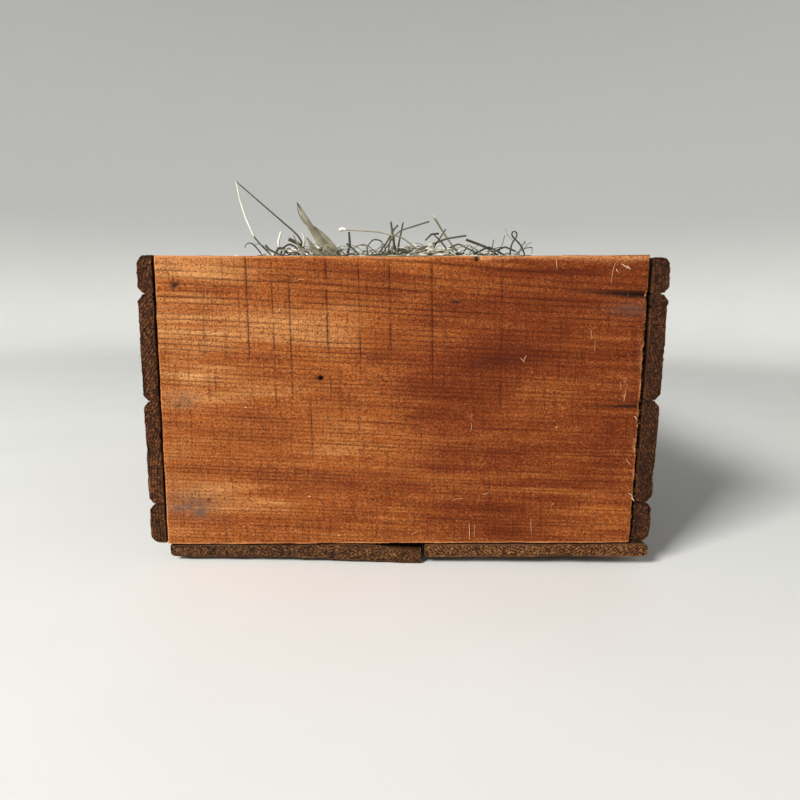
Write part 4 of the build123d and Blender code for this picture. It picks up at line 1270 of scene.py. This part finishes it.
blades = [
    leaf_blade((-67.9, 36.2), (-42, -3), 12.5, 0.0, 0.5, 3),
    leaf_blade((-58.0, 21.5), (-38, -3), 8.0, 2.5, -0.4, 4),
    leaf_blade((-62.0, 14.0), (-47, -3), 6.5, -2.0, 0.5, 5),
    leaf_blade((-70.5, 15.5), (-58, -2), 4.5, -3.0, 0.4, 9),
    leaf_blade((8, 7.5), (40, 0.5), 8.5, 8.0, 0.6, 12, 0.6),
    leaf_blade((46, 8.5), (16, 0.0), 7.5, 11.0, -0.5, 13, 0.6),
    leaf_blade((63, 5.5), (44, -1.0), 5.0, 9.0, 0.4, 14, 0.5),
    leaf_blade((-66.5, 29.0), (-52, 2), 2.6, 3.5, 0.3, 6),
    leaf_blade((-68.0, 35.8), (-62.0, 22.0), 1.5, -0.8, 0.3, 7),
]
points, faces, shade = joined(blades)
place("hay_leaf_blades_wide", new_mesh("hay_leaf_blades_wide", points, faces), grass,
      ("hay_leaf_blades",), {"shade": shade})


def tuft(name, count, seed):
    """Short bent stems that stick up out of the crown near the near panel, tangled together."""
    rng = np.random.default_rng(seed)
    steps = 10
    share = np.linspace(0, 1, steps)[None, :]
    x = rng.uniform(CROWN_LEFT + 22, CROWN_RIGHT - 2, count)
    y = HAY_LOW[Y] + rng.uniform(3, 60, count)
    reach = rng.uniform(9, 32, count)
    bearing = rng.normal(0, 0.9, count) + np.where(rng.random(count) < 0.5, 0, math.pi)
    arc = rng.uniform(0.15, 1.0, count) * rng.uniform(3, 11, count)
    end = rng.uniform(-0.9, 0.8, count)
    path_x = x[:, None] + np.cos(bearing)[:, None] * reach[:, None] * share
    path_y = y[:, None] + 0.5 * np.sin(bearing)[:, None] * reach[:, None] * share
    rise = np.sin(math.pi * share * 0.75) + end[:, None] * share ** 2 * 0.6
    path_z = RIM - 3 + arc[:, None] * rise * 1.35
    path_z += 0.25 * np.sin(9 * share + x[:, None])
    path_x = np.clip(path_x, CROWN_LEFT + 12, CROWN_RIGHT + 1)
    path_y = np.clip(path_y, HAY_LOW[Y] + 1, HAY_HIGH[Y] - 1)
    paths = np.stack([path_x, path_y, path_z], -1)
    thick = rng.uniform(0.22, 0.62, count)[:, None] * (1 - 0.5 * share ** 2)
    points, faces, owner, _ = tubes(paths, thick, 5, 0.7, twist=1.0, seed=seed)
    shade = np.clip(rng.beta(0.9, 1.7, count), 0, 1)[owner]
    place(name, new_mesh(name, points, faces), grass, (), {"shade": shade})


tuft("hay_tuft", 420, 540)


def chaff():
    """Pale scraps of leaf and husk caught in the hay: a drift right of the middle, some by the leaf
    blades and some scattered over the whole bed."""
    rng = np.random.default_rng(550)
    drift, by_blades, scattered = 62, 22, 60
    near = drift + by_blades
    count = near + scattered
    x = np.concatenate([
        rng.normal(14, 13, drift), rng.normal(-58, 9, by_blades),
        rng.uniform(CROWN_LEFT, CROWN_RIGHT, scattered),
    ])
    y = np.concatenate([
        STALK_Y + rng.uniform(-4, 18, near), rng.uniform(HAY_LOW[Y] + 4, HAY_HIGH[Y] - 4, scattered),
    ])
    lift = np.concatenate([
        rng.uniform(1.5, 8.5, near), rng.uniform(-1.0, 1.5, scattered) + 0.045 * (y[near:] - HAY_LOW[Y]),
    ])
    reach = rng.uniform(3, 9, count)
    bearing = rng.uniform(-0.9, 0.9, count)
    rise = rng.normal(0, 0.3, count)
    run = np.linspace(-0.5, 0.5, 7)[None, :]
    path_x = x[:, None] + reach[:, None] * np.cos(bearing)[:, None] * run
    path_y = y[:, None] + reach[:, None] * np.sin(bearing)[:, None] * run
    path_z = RIM + lift[:, None] + reach[:, None] * (rise[:, None] * run + 0.25 * (0.25 - run ** 2))
    thick = rng.uniform(0.7, 1.9, count)[:, None] * np.sqrt(np.clip(1.02 - (2 * run) ** 2, 0.03, 1))
    paths = np.stack([path_x, path_y, path_z], -1)
    points, faces, owner, _ = tubes(paths, thick, 6, 0.18, twist=0.8, seed=551)
    shade = rng.uniform(0.75, 1.1, count)[owner]
    place("hay_pale_chaff", new_mesh("hay_pale_chaff", points, faces), grass, (), {"shade": shade})


chaff()


# ---------------------------------------------------------------------------
# Stems, bamboo, cones, logs and bark
# ---------------------------------------------------------------------------

def cut_stem(name, stops, bark_stops, ring_size, relief):
    """A cut stem: its end grain goes from the middle to the bark by the mark rim, and its skin has
    fine lengthwise ribs. The mark skin is 1 on the outside. Down a hollow cane's bore the mark rim
    falls to 0, and the ramp's dark low end there is painted shade."""
    material, tree = new_material(name)
    rim = add(tree, "ShaderNodeAttribute", attribute_name="rim", out=2)
    skin = add(tree, "ShaderNodeAttribute", attribute_name="skin", out=2)
    own = add(tree, "ShaderNodeAttribute", attribute_name="own", out=2)
    fibre = add(
        tree, "ShaderNodeTexNoise", {"Vector": stretched(tree, Z, 0.7, 16), "Scale": 1.0, "Detail": 3.0},
    )
    fine = add(
        tree, "ShaderNodeTexNoise",
        {"Vector": stretched(tree, Z, ring_size, ring_size), "Scale": 1.0, "Detail": 3.0, "Roughness": 0.7},
    )
    uneven = add(tree, "ShaderNodeMath", {0: fine, 1: 0.16, 2: rim}, operation="MULTIPLY_ADD")
    uneven = add(tree, "ShaderNodeMath", {0: uneven, 1: 0.08}, operation="SUBTRACT")
    end = add(tree, "ShaderNodeValToRGB", {"Fac": uneven}, ramp=stops)
    skin_tone = add(tree, "ShaderNodeMath", {0: fibre, 1: 0.6, 2: own}, operation="MULTIPLY_ADD")
    bark = add(tree, "ShaderNodeValToRGB", {"Fac": skin_tone}, ramp=bark_stops)
    base = add(tree, "ShaderNodeMix", {0: skin, 6: end, 7: bark}, data_type="RGBA", out=2)
    dirt = add(
        tree, "ShaderNodeTexNoise", {"Vector": stretched(tree, Z, 9, 9), "Scale": 1.0, "Detail": 3.0},
    )
    dirt = add(
        tree, "ShaderNodeMapRange", {"Value": dirt, "From Min": 0.5, "From Max": 0.75, "To Max": 0.45},
    )
    base = add(tree, "ShaderNodeMix", {0: dirt, 6: base, 7: colour("#5b4a38")}, data_type="RGBA", out=2)
    height = add(tree, "ShaderNodeMath", {0: fibre, 1: fine}, operation="ADD")
    rough = add(tree, "ShaderNodeMapRange", {"Value": fine, "To Min": 0.55, "To Max": 0.9})
    finish_material(tree, base, rough, height, relief)
    return material


elder = cut_stem(
    "elder_and_bramble_stem",
    [
        (0.0, "#e8dcc0"), (0.4, "#dccba6"), (0.47, "#b79867"), (0.84, "#c7a878"), (0.93, "#5c4630"),
        (1.0, "#41301f"),
    ],
    [(0.2, "#3a2b1e"), (0.5, "#6a5138"), (0.75, "#8d7454"), (1.0, "#a8926e")], 0.9, 0.3,
)
# On the canes the ramp's dark low end is painted shade down inside the bore.
bamboo = cut_stem(
    "weathered_bamboo_cane",
    [(0.0, "#3a2a18"), (0.5, "#8a6c3c"), (0.66, "#d6bd84"), (0.9, "#cbb077"), (1.0, "#8f7440")],
    [(0.2, "#7d6a3a"), (0.5, "#b59c5e"), (0.75, "#cdb87e"), (1.0, "#d8c894")], 0.7, 0.15,
)
log_bark = cut_stem(
    "rough_log_bark",
    [(0.0, "#4a3626"), (1.0, "#6d523a")],
    [(0.2, "#2a1f17"), (0.5, "#4b3a2c"), (0.75, "#6e5a46"), (1.0, "#8a7660")], 3.0, 1.1,
)


def wobble(step, spread):
    """A repeatable uneven amount between 0 and spread, different for each step."""
    return spread * (0.5 + 0.5 * math.sin(12.9898 * step + 4.1))


def turned(rows, middle, sides, out_of_round):
    """A closed solid turned about an upright line. Rows are (radius, height, rim, skin) from the foot
    to the middle of the top. Returns points, faces and two marks."""
    turn = np.linspace(0, 2 * math.pi, sides, endpoint=False)
    uneven = np.sin(2 * turn + middle[0]) + 0.5 * np.sin(3 * turn + middle[1])
    shape = 1 + out_of_round * uneven
    radius, height, rim, skin = np.array(rows, float).T[:, :, None]
    points = grid_points(
        middle[0] + radius * shape * np.cos(turn), middle[1] + radius * shape * np.sin(turn), height,
    )
    index, _, quads = ring_faces(len(rows), sides)
    faces = [quads, index[0][::-1][None, :], index[-1][None, :]]
    return points, faces, np.repeat(rim, sides), np.repeat(skin, sides)


def gather(name, parts, material, stands_for):
    """Joins several turned solids into one piece. The mark own gives each its own tone."""
    points, faces, rim, skin = joined(parts)
    tones = [0.1 + wobble(3 * number, 0.35) for number in range(len(parts))]
    own = np.repeat(tones, [len(part[0]) for part in parts])
    place(
        name, new_mesh(name, points, faces), material, stands_for,
        {"rim": rim, "skin": skin, "own": own},
    )


# The stems stand in offset rows with this much room between them, and the canes take some places.
COLUMNS, ROWS = 9, 8
STEM_GAP = 0.7
pitch_x = (DIVIDER[0][X] + SIDE_INNER) / (COLUMNS + 0.5)
pitch_y = (FAR_PARTITION[0][Y] - NEAR_PARTITION[1][Y]) / ROWS
FILL_FLOOR, FILL_TOP = [corner[Z] for corner in span("pithy_stems")]
stem_r = (min(pitch_x, pitch_y) - STEM_GAP) / 2
CANES = [f"bamboo_cane_{n}" for n in range(1, 11)]
cane_middles = [sum(span(node)) / 2 for node in CANES]

stems = []
for row in range(ROWS):
    for column in range(COLUMNS):
        x = -SIDE_INNER + (column + 0.5 + 0.5 * (row % 2)) * pitch_x
        y = NEAR_PARTITION[1][Y] + (row + 0.5) * pitch_y
        if any(math.hypot(x - m[X], y - m[Y]) < 3 for m in cane_middles):
            continue
        step = column + row * COLUMNS
        top = FILL_TOP - wobble(step, 9.0)
        r = stem_r - wobble(2 * step, 1.1)
        pith = 0.32 + wobble(5 * step, 0.16)
        rows = [
            (r * 0.97, FILL_FLOOR, 1, 1), (r * 0.96, top - 70, 1, 1), (r, top - 42, 1, 1),
            (r * 0.97, top - 36, 1, 1), (r * 0.97, top - 12, 1, 1), (r * 0.99, top - 4, 1, 1),
            (r * 0.985, top - 0.7, 1, 1), (r * 0.95, top - 0.1, 1, 0.2), (r * 0.86, top, 0.84, 0),
            (r * (pith + 0.1), top - 0.1, 0.52, 0), (r * pith, top - 0.5, 0.4, 0),
            (r * pith * 0.7, top - 1.1, 0.3, 0), (r * pith * 0.3, top - 1.2, 0.1, 0),
            (r * 0.03, top - 1.3, 0.0, 0),
        ]
        points, faces, rim, skin = turned(rows, (x, y), 26, 0.018)
        # The cutters went through at a slight slant.
        at_top = points[:, Z] > top - 3
        lean_x, lean_y = 0.13 * math.sin(step * 1.7), 0.11 * math.cos(step * 2.3)
        slant = lean_x * (points[at_top, X] - x) + lean_y * (points[at_top, Y] - y)
        points[at_top, Z] += np.clip(slant, -0.9, 0.0) * 1.2
        stems.append((points, faces, rim, skin))
gather("elder_stems", stems, elder, ("pithy_stems",))

# How thick a cane's wall is, and how much of its foot is solid up to the knot.
CANE_WALL = 3.1
CANE_SOLID = 50.0
canes = []
for number, node in enumerate(CANES):
    low, high = span(node)
    x, y = (low + high)[:2] / 2
    r, top = (high - low)[X] / 2, high[Z]
    bore = r - CANE_WALL
    floor = FILL_FLOOR + CANE_SOLID
    joint = floor + 22 + wobble(number, 18)
    # Inside the bore the mark rim falls from the lip to 0 at the floor: painted shade deepening into the
    # hole.
    rows = [
        (r * 0.97, FILL_FLOOR, 1, 1), (r * 0.97, joint - 3, 1, 1), (r * 0.93, joint - 1.2, 1, 1),
        (r, joint, 1, 1), (r * 0.99, joint + 1.0, 1, 1), (r * 0.94, joint + 2.0, 1, 1),
        (r * 0.97, joint + 5, 1, 1), (r * 0.97, top - 1, 1, 1), (r * 0.95, top - 0.2, 1, 0.5),
        (r * 0.9, top, 0.9, 0), (bore * 1.12, top, 0.68, 0), (bore * 1.02, top - 0.4, 0.6, 0),
        (bore, top - 2, 0.4, 0), (bore * 0.98, top - 30, 0.15, 0), (bore * 0.95, floor + 1, 0.0, 0),
        (bore * 0.5, floor, 0.0, 0), (0.1, floor, 0.0, 0),
    ]
    canes.append(turned(rows, (x, y), 30, 0.012))
gather("bamboo_canes", canes, bamboo, CANES)


def fir_cone_material():
    """An opened fir cone: dry brown woody scales, grey-tan at the lip and darker towards their base, partly
    as painted shade; the near-black core and the darker inner faces of the scales are painted shade deep in
    the cone.
    """
    material, tree = new_material("dry_fir_cone_scale")
    lip = add(tree, "ShaderNodeAttribute", attribute_name="lip", out=2)
    at = add(tree, "ShaderNodeTexCoord", out=3)
    fibre = add(tree, "ShaderNodeTexNoise", {"Vector": at, "Scale": 700.0, "Detail": 4.0, "Roughness": 0.7})
    mixed = add(tree, "ShaderNodeMath", {0: fibre, 1: 0.45, 2: lip}, operation="MULTIPLY_ADD")
    base = add(
        tree, "ShaderNodeValToRGB", {"Fac": mixed},
        ramp=[(0.15, "#1d120b"), (0.5, "#4e3220"), (0.85, "#7c5636"), (1.15, "#a98a66")],
    )
    rough = add(tree, "ShaderNodeMapRange", {"Value": fibre, "To Min": 0.6, "To Max": 0.95})
    finish_material(tree, base, rough, fibre, 0.35)
    return material


CONE_SCALES = 96


def cone_mesh(length, width):
    """A fir cone lying along X about the origin, stalk end at -X: a core with scales set in a spiral."""
    half, widest = length / 2, width / 2

    def skin(at):
        """The cone's outer radius at a place from -1 at the stalk to 1 at the tip, widest at -0.2."""
        past = at + 0.2
        stalk_part = np.sqrt(np.clip(1 - (past / 0.84) ** 2, 0.09, 1))
        tip_part = np.clip(1 - 0.84 * (np.clip(past, 0, None) / 1.2) ** 1.7, 0.16, 1)
        return widest * np.where(past < 0, stalk_part, tip_part)

    ends = np.linspace(-0.97, 0.94, 22)
    turn = np.linspace(0, 2 * math.pi, 18, endpoint=False)
    core_r = 0.6 * skin(ends)[:, None]
    core = grid_points(half * ends[:, None], core_r * np.cos(turn), core_r * np.sin(turn))
    index, _, quads = ring_faces(len(ends), len(turn))
    # The core's low lip mark makes it near black: painted shade deep inside the cone.
    parts = [(core, [quads, index[0][::-1][None], index[-1][None]], np.full(len(core), 0.05))]
    golden = math.pi * (3 - math.sqrt(5))
    wide_steps, long_steps = 6, 5
    # The scales face the other way from a sheet whose steps run out from the stalk.
    scale_faces = [np.roll(group[:, ::-1], 1, axis=1) for group in sheet_faces(long_steps, wide_steps)]
    for number in range(CONE_SCALES):
        share = (number + 0.5) / CONE_SCALES
        root = -0.94 + 1.78 * share ** 0.92
        angle = number * golden
        reach = 0.23 * width * (0.7 + 0.45 * math.sin(math.pi * min(1, share * 1.15)))
        broad = 0.24 * width * (0.55 + 0.6 * math.sin(math.pi * min(1, share * 1.1 + 0.08)))
        long_share = np.linspace(0, 1, long_steps)[:, None]
        side = np.linspace(-1, 1, wide_steps)[None, :]
        tip_at = root + reach / half * 0.85
        line_x = half * root + long_share * (half * tip_at - half * root) + 0 * side
        start_r = 0.55 * float(skin(np.array(root)))
        end_r = 0.985 * float(skin(np.array(min(tip_at, 0.96))))
        radius = start_r + (end_r - start_r) * long_share ** 0.85 - 0.06 * width * side ** 2 * long_share
        breadth = broad * (0.45 + 0.62 * np.sin(math.pi * (0.12 + 0.62 * long_share)))
        swing = breadth * (1 - 0.3 * long_share ** 6) / np.maximum(radius, 2)
        line_x = line_x - 0.05 * width * side ** 2 * long_share ** 2
        spin = angle + side * swing * 0.62
        outer = grid_points(line_x, radius * np.cos(spin), radius * np.sin(spin))
        inner_r = radius - (0.55 + 0.5 * (1 - long_share))
        inner = grid_points(line_x + 0.25, inner_r * np.cos(spin), inner_r * np.sin(spin))
        lip = np.repeat(0.12 + 0.72 * long_share ** 2.2 + 0.1 * math.sin(number), wide_steps)
        # The inner face of each scale takes a lower lip mark: painted shade under the scale.
        parts.append((np.concatenate([outer, inner]), scale_faces, np.concatenate([lip, 0.6 * lip])))
    return joined(parts)


cone_brown = fir_cone_material()
low, high = span("fir_cone_1")
cone_points, cone_faces, cone_lip = cone_mesh(*(high - low)[:2])
for number in range(1, 15):
    node = f"fir_cone_{number}"
    name = f"fir_cone_scales_{number}"
    low, high = span(node)
    middle = (low + high) / 2
    lengthwise = (high - low)[X] > (high - low)[Y]
    # Each cone is rolled and turned end for end differently, so no two look alike.
    roll = number * 2.1
    flip = 0 if number % 2 else math.pi
    turn = Matrix.Rotation(
        (0 if lengthwise else math.pi / 2) + flip, 3, "Z",
    ) @ Matrix.Rotation(roll, 3, "X")
    points = cone_points @ np.array(turn).T
    points = points * (1 + 0.012 * noise(points + number * 31, 12, 600)[:, None])
    points = middle + np.clip(points, low - middle, high - middle)
    place(name, new_mesh(name, points, cone_faces), cone_brown, (node,), {"lip": cone_lip})


# How far apart a log's growth rings lie, how thick its bark is and how fine its furrows are drawn.
LOG_RING = 2.4
BARK_THICK = 3.2
BARK_ROUND, BARK_TALL = 190, 74


def log_end(name, middle, radius, seed):
    """A sawn log end: rings about its own pith, radial drying splits, a dark rim and saw scuffs."""
    material, tree = new_material(name)
    at = add(tree, "ShaderNodeTexCoord", out=3)
    local = add(
        tree, "ShaderNodeVectorMath", {0: at, 1: (middle[0] * MM, middle[1] * MM, 0.0)},
        operation="SUBTRACT",
    )
    flat = add(tree, "ShaderNodeVectorMath", {0: local, 1: (1.0, 1.0, 0.0)}, operation="MULTIPLY")
    broad = add(tree, "ShaderNodeTexNoise", {"Vector": flat, "Scale": 22.0, "Detail": 3.0})
    radial = add(tree, "ShaderNodeVectorMath", {0: flat}, operation="LENGTH", out=1)
    bent = add(tree, "ShaderNodeMath", {0: broad, 1: 0.009, 2: radial}, operation="MULTIPLY_ADD")
    rings = add(tree, "ShaderNodeMath", {0: bent, 1: 1 / (LOG_RING * MM)}, operation="MULTIPLY")
    cycle = add(tree, "ShaderNodeMath", {0: rings}, operation="FRACT")
    late = add(
        tree, "ShaderNodeValToRGB", {"Fac": cycle},
        ramp=[(0.0, 0.5), (0.12, 0.05), (0.6, 0.15), (0.93, 1.0), (1.0, 0.7)],
    )
    fine = add(tree, "ShaderNodeTexNoise", {"Vector": at, "Scale": 1100.0, "Detail": 3.0, "Roughness": 0.7})
    outwards = add(tree, "ShaderNodeMath", {0: radial, 1: 1 / (radius * MM)}, operation="MULTIPLY")
    base = add(
        tree, "ShaderNodeValToRGB", {"Fac": outwards},
        ramp=[(0.0, "#8a5f38"), (0.3, "#b0824f"), (0.62, "#cba26c"), (0.94, "#d8b684"), (1.0, "#7a5a3a")],
    )
    late_share = add(tree, "ShaderNodeMath", {0: late, 1: 0.5}, operation="MULTIPLY")
    base = add(
        tree, "ShaderNodeMix", {0: late_share, 6: base, 7: colour("#7c4f28")}, data_type="RGBA", out=2,
    )
    greyed = add(
        tree, "ShaderNodeMapRange", {"Value": broad, "From Min": 0.45, "From Max": 0.7, "To Max": 0.5},
    )
    base = add(tree, "ShaderNodeMix", {0: greyed, 6: base, 7: colour("#8f7c62")}, data_type="RGBA", out=2)
    fleck = add(
        tree, "ShaderNodeMapRange", {"Value": fine, "From Min": 0.52, "From Max": 0.36, "To Max": 0.5},
    )
    base = add(tree, "ShaderNodeMix", {0: fleck, 6: base, 7: colour("#6a4628")}, data_type="RGBA", out=2)
    # Drying splits run out from the pith: thin wedges in a few directions, widest at the bark.
    parts = add(tree, "ShaderNodeSeparateXYZ", {0: flat}, out=0)
    parts_y = parts.node.outputs[1]
    angle = add(tree, "ShaderNodeMath", {0: parts_y, 1: parts}, operation="ARCTAN2")
    warped = add(tree, "ShaderNodeMath", {0: broad, 1: 0.5, 2: angle}, operation="MULTIPLY_ADD")
    spokes = add(
        tree, "ShaderNodeTexNoise", {"W": warped, "Scale": 5.0 + seed, "Detail": 2.0},
        noise_dimensions="1D",
    )
    narrow = add(
        tree, "ShaderNodeMapRange", {"Value": spokes, "From Min": 0.3, "From Max": 0.27, "To Max": 1.0},
    )
    from_pith = add(tree, "ShaderNodeMapRange", {"Value": outwards, "From Min": 0.2, "From Max": 0.5})
    split = add(tree, "ShaderNodeMath", {0: narrow, 1: from_pith}, operation="MULTIPLY")
    base = add(tree, "ShaderNodeMix", {0: split, 6: base, 7: colour("#2c1b10")}, data_type="RGBA", out=2)
    height = add(tree, "ShaderNodeMath", {0: late, 1: 0.5, 2: fine}, operation="MULTIPLY_ADD")
    height = add(tree, "ShaderNodeMath", {0: split, 1: -3.0, 2: height}, operation="MULTIPLY_ADD")
    rough = add(tree, "ShaderNodeMapRange", {"Value": fine, "To Min": 0.7, "To Max": 0.95})
    finish_material(tree, base, rough, height, 0.3)
    return material


def bark_marks(ridge, base, rise, inside):
    """The marks of a piece of bark: paler on its ridges, one tone inside, and all of it skin."""
    outer = base + rise * np.clip(ridge, 0, 1).ravel() ** 0.7
    own = np.concatenate([outer, np.full(ridge.size, inside)])
    return {"rim": np.zeros(len(own)), "skin": np.ones(len(own)), "own": own}


def bark_shell(name, middle, radius, low_z, high_z, seed):
    """Bark round a log: ridged and furrowed, torn away in places at the upper edge."""
    turn = np.linspace(0, 2 * math.pi, BARK_ROUND, endpoint=False)[None, :]
    share = np.linspace(0, 1, BARK_TALL)[:, None]
    # Furrows run up the log, so its height counts for less than its girth.
    on_ring = grid_points(
        radius * np.cos(turn), radius * np.sin(turn), 0.4 * (low_z + share * (high_z - low_z)),
    )
    ridge = np.abs(noise(on_ring, 9, seed, 3)).reshape(BARK_TALL, BARK_ROUND)
    fine = noise(on_ring, 3, seed + 1, 2).reshape(BARK_TALL, BARK_ROUND)
    outer_r = radius + 0.6 + (BARK_THICK - 0.8) * np.clip(1.15 * ridge ** 0.6 + 0.14 * fine, 0.05, 1)
    torn = 2.4 * np.clip(noise(on_ring[:BARK_ROUND] * np.array([1, 1, 0]), 11, seed + 2, 3), 0, 1.4)
    z = low_z + share * (high_z - 1.2 - torn[None, :] - low_z)
    inner_r = radius + 0.05
    outer = grid_points(middle[0] + outer_r * np.cos(turn), middle[1] + outer_r * np.sin(turn), z)
    inner = grid_points(
        middle[0] + inner_r * np.cos(turn), middle[1] + inner_r * np.sin(turn), z + 0.2 * share,
    )
    index, after, skin = ring_faces(BARK_TALL, BARK_ROUND)
    n = index.size
    top = np.stack([index[-1], after[-1], after[-1] + n, index[-1] + n], 1)
    foot = np.stack([after[0], index[0], index[0] + n, after[0] + n], 1)
    mesh = new_mesh(name, np.concatenate([outer, inner]), [skin, skin[:, ::-1] + n, top, foot])
    place(name, mesh, log_bark, (), bark_marks(ridge, 0.12, 0.75, 0.1))


for number, word in enumerate(("left", "middle", "right")):
    node = f"drilled_log_{word}"
    low, high = span(node)
    middle, radius = (low + high)[:2] / 2, (high - low)[X] / 2
    material = log_end(f"sawn_log_end_{word}", middle + np.array([2.5, -1.5]), radius, number)
    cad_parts[node].data.materials.clear()
    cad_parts[node].data.materials.append(material)
    bark_shell(f"log_bark_{word}", middle, radius, low[Z], high[Z], 700 + 10 * number)


def bark_sheet(name, node, seed):
    """A loose strip of bark, rough and furrowed outside and fibrous inside, with broken edges."""
    low, high = span(node)
    # Each strip stands against the far panel or the far partition and curves away from it.
    wall = 1 if (low + high)[Y] > FAR_PARTITION[1][Y] + FAR_PANEL[0][Y] else -1
    middle_x = (low + high)[X] / 2
    half = (high - low)[X] / 2
    ring = 70.0
    wall_y = high[Y] if wall > 0 else low[Y]
    centre_y = wall_y - wall * ring
    wide_steps, tall_steps = 60, 90
    spread = math.asin(half / ring)
    angle = np.linspace(-spread, spread, wide_steps)[None, :]
    share = np.linspace(0, 1, tall_steps)[:, None]
    edge = np.minimum(np.abs(angle - angle[0, 0]), np.abs(angle[0, -1] - angle)) * ring
    flat = grid_points(angle * ring, seed, 0.4 * share * (high[Z] - low[Z]))
    uneven = [
        noise(at, swell, seed + step, octaves).reshape(tall_steps, wide_steps)
        for step, (at, swell, octaves) in enumerate((
            (flat, 8, 3), (flat * np.array([0, 1, 3]), 16, 2), (flat * np.array([1, 1, 0]), 9, 3),
            (flat + 50, 5, 2),
        ))
    ]
    ridge = np.abs(uneven[0])
    sway = angle * (1 - 0.05 * (0.5 + 0.5 * uneven[1]))
    top_torn = 4 * np.clip(uneven[2], 0, 1.2)
    outer_r = ring - 2.6 * (1 - np.clip(1.3 * ridge ** 0.6, 0, 1)) - 1.2 * smooth(4, 0, edge)
    inner_r = ring - 4.6 - 0.5 * uneven[3] + 0.8 * smooth(4, 0, edge)
    z = low[Z] + share * (high[Z] - low[Z] - top_torn)
    sheets = [
        grid_points(middle_x + r * np.sin(sway), centre_y + wall * r * np.cos(sway), z)
        for r in (outer_r, inner_r)
    ]
    faces = sheet_faces(tall_steps, wide_steps)
    if wall > 0:
        faces = [group[:, ::-1] for group in faces]
    mesh = new_mesh(name, np.concatenate(sheets), faces)
    place(name, mesh, log_bark, (node,), bark_marks(ridge, 0.1, 0.7, 0.45))


for number in range(1, 5):
    bark_sheet(f"loose_bark_{number}", f"bark_strip_{number}", 740 + number * 9)


# ---------------------------------------------------------------------------
# Floor, light and camera
# ---------------------------------------------------------------------------

def pale_floor():
    """A floor of matt pale paint that rises into a wall all round; the wall is painted grey, which is painted
    shade. It lies at the cupped board that the crate stands on, tilted the little that the crate itself
    leans."""
    level, reach = 1500.0, 2600.0
    turn = np.linspace(0, 2 * math.pi, 96, endpoint=False)
    radii = np.concatenate([np.linspace(0.5, level, 12), np.linspace(level + 100, reach, 30)])[:, None]
    rise = 3400 * smooth(level, reach + 600, radii) ** 1.2
    points = grid_points(radii * np.cos(turn), radii * np.sin(turn), rise)
    index, _, quads = ring_faces(len(radii), len(turn))
    lean = math.radians(1.1)
    edge = span("left_bottom_board")[1][X]
    points[:, Z] += -0.3 - math.tan(lean) * (points[:, X] - edge)
    mesh = new_mesh("floor", points, [quads, index[0][None, :]])
    material, tree = new_material("matt_pale_paint")
    at = add(tree, "ShaderNodeTexCoord", out=3)
    cloud = add(tree, "ShaderNodeTexNoise", {"Vector": at, "Scale": 6.0, "Detail": 4.0})
    base = add(tree, "ShaderNodeValToRGB", {"Fac": cloud}, ramp=[(0.3, "#f1f1ef"), (0.7, "#f4f4f2")])
    height = add(tree, "ShaderNodeSeparateXYZ", {0: at}, out=2)
    # The rising wall is painted grey: painted shade.
    painted_wall_shade = add(tree, "ShaderNodeMapRange", {"Value": height, "From Min": 0.06, "From Max": 0.5},
                  interpolation_type="SMOOTHSTEP")
    base = add(tree, "ShaderNodeMix", {0: painted_wall_shade, 6: base, 7: colour("#c4c5c3")}, data_type="RGBA", out=2)
    rough = add(tree, "ShaderNodeMapRange", {"Value": cloud, "To Min": 0.5, "To Max": 0.7})
    finish_material(tree, base, rough, cloud, 0.05)
    mesh.materials.append(material)
    made = bpy.data.objects.new("floor", mesh)
    bpy.context.scene.collection.objects.link(made)
    made.visible_shadow = False


def area_light(name, spot, aim, size, power, shade):
    light = bpy.data.lights.new(name, "AREA")
    light.shape = "RECTANGLE"
    light.size, light.size_y = size
    light.energy = power
    light.color = colour(shade)[:3]
    made = bpy.data.objects.new(name, light)
    made.location = spot
    made.rotation_euler = (Vector(aim) - Vector(spot)).to_track_quat("-Z", "Y").to_euler()
    bpy.context.scene.collection.objects.link(made)


pale_floor()
# A window high at the front left throws the shadow to the right, and a faint ceiling light fills in.
area_light("window", (-2.0, -2.3, 2.05), (0.0, 0.0, 0.08), (1.15, 1.0), 165, "#fffefb")
area_light("ceiling", (0.4, 0.2, 1.9), (0.0, 0.0, 0.1), (1.8, 1.8), 1.5, "#f4f6fa")

world = bpy.data.worlds.new("pale_room")
bpy.context.scene.world = world
world.use_nodes = True
world.node_tree.nodes.clear()
sky = add(world.node_tree, "ShaderNodeBackground", {"Color": colour("#dfe2e6"), "Strength": 0.06})
add(world.node_tree, "ShaderNodeOutputWorld", {"Surface": sky})

# The camera stands square to the near end, a little left of its middle and looking slightly down.
camera = bpy.data.cameras.new("camera")
camera.lens = 29.65
camera.sensor_width = 36.0
camera.clip_start = 0.02
eye = bpy.data.objects.new("camera", camera)
eye.location = (-0.0055, -0.6162, 0.1693)
eye.rotation_euler = (math.radians(81.6), 0.0, math.radians(-0.62))
bpy.context.scene.collection.objects.link(eye)
bpy.context.scene.camera = eye
bpy.context.scene.view_settings.view_transform = "Standard"
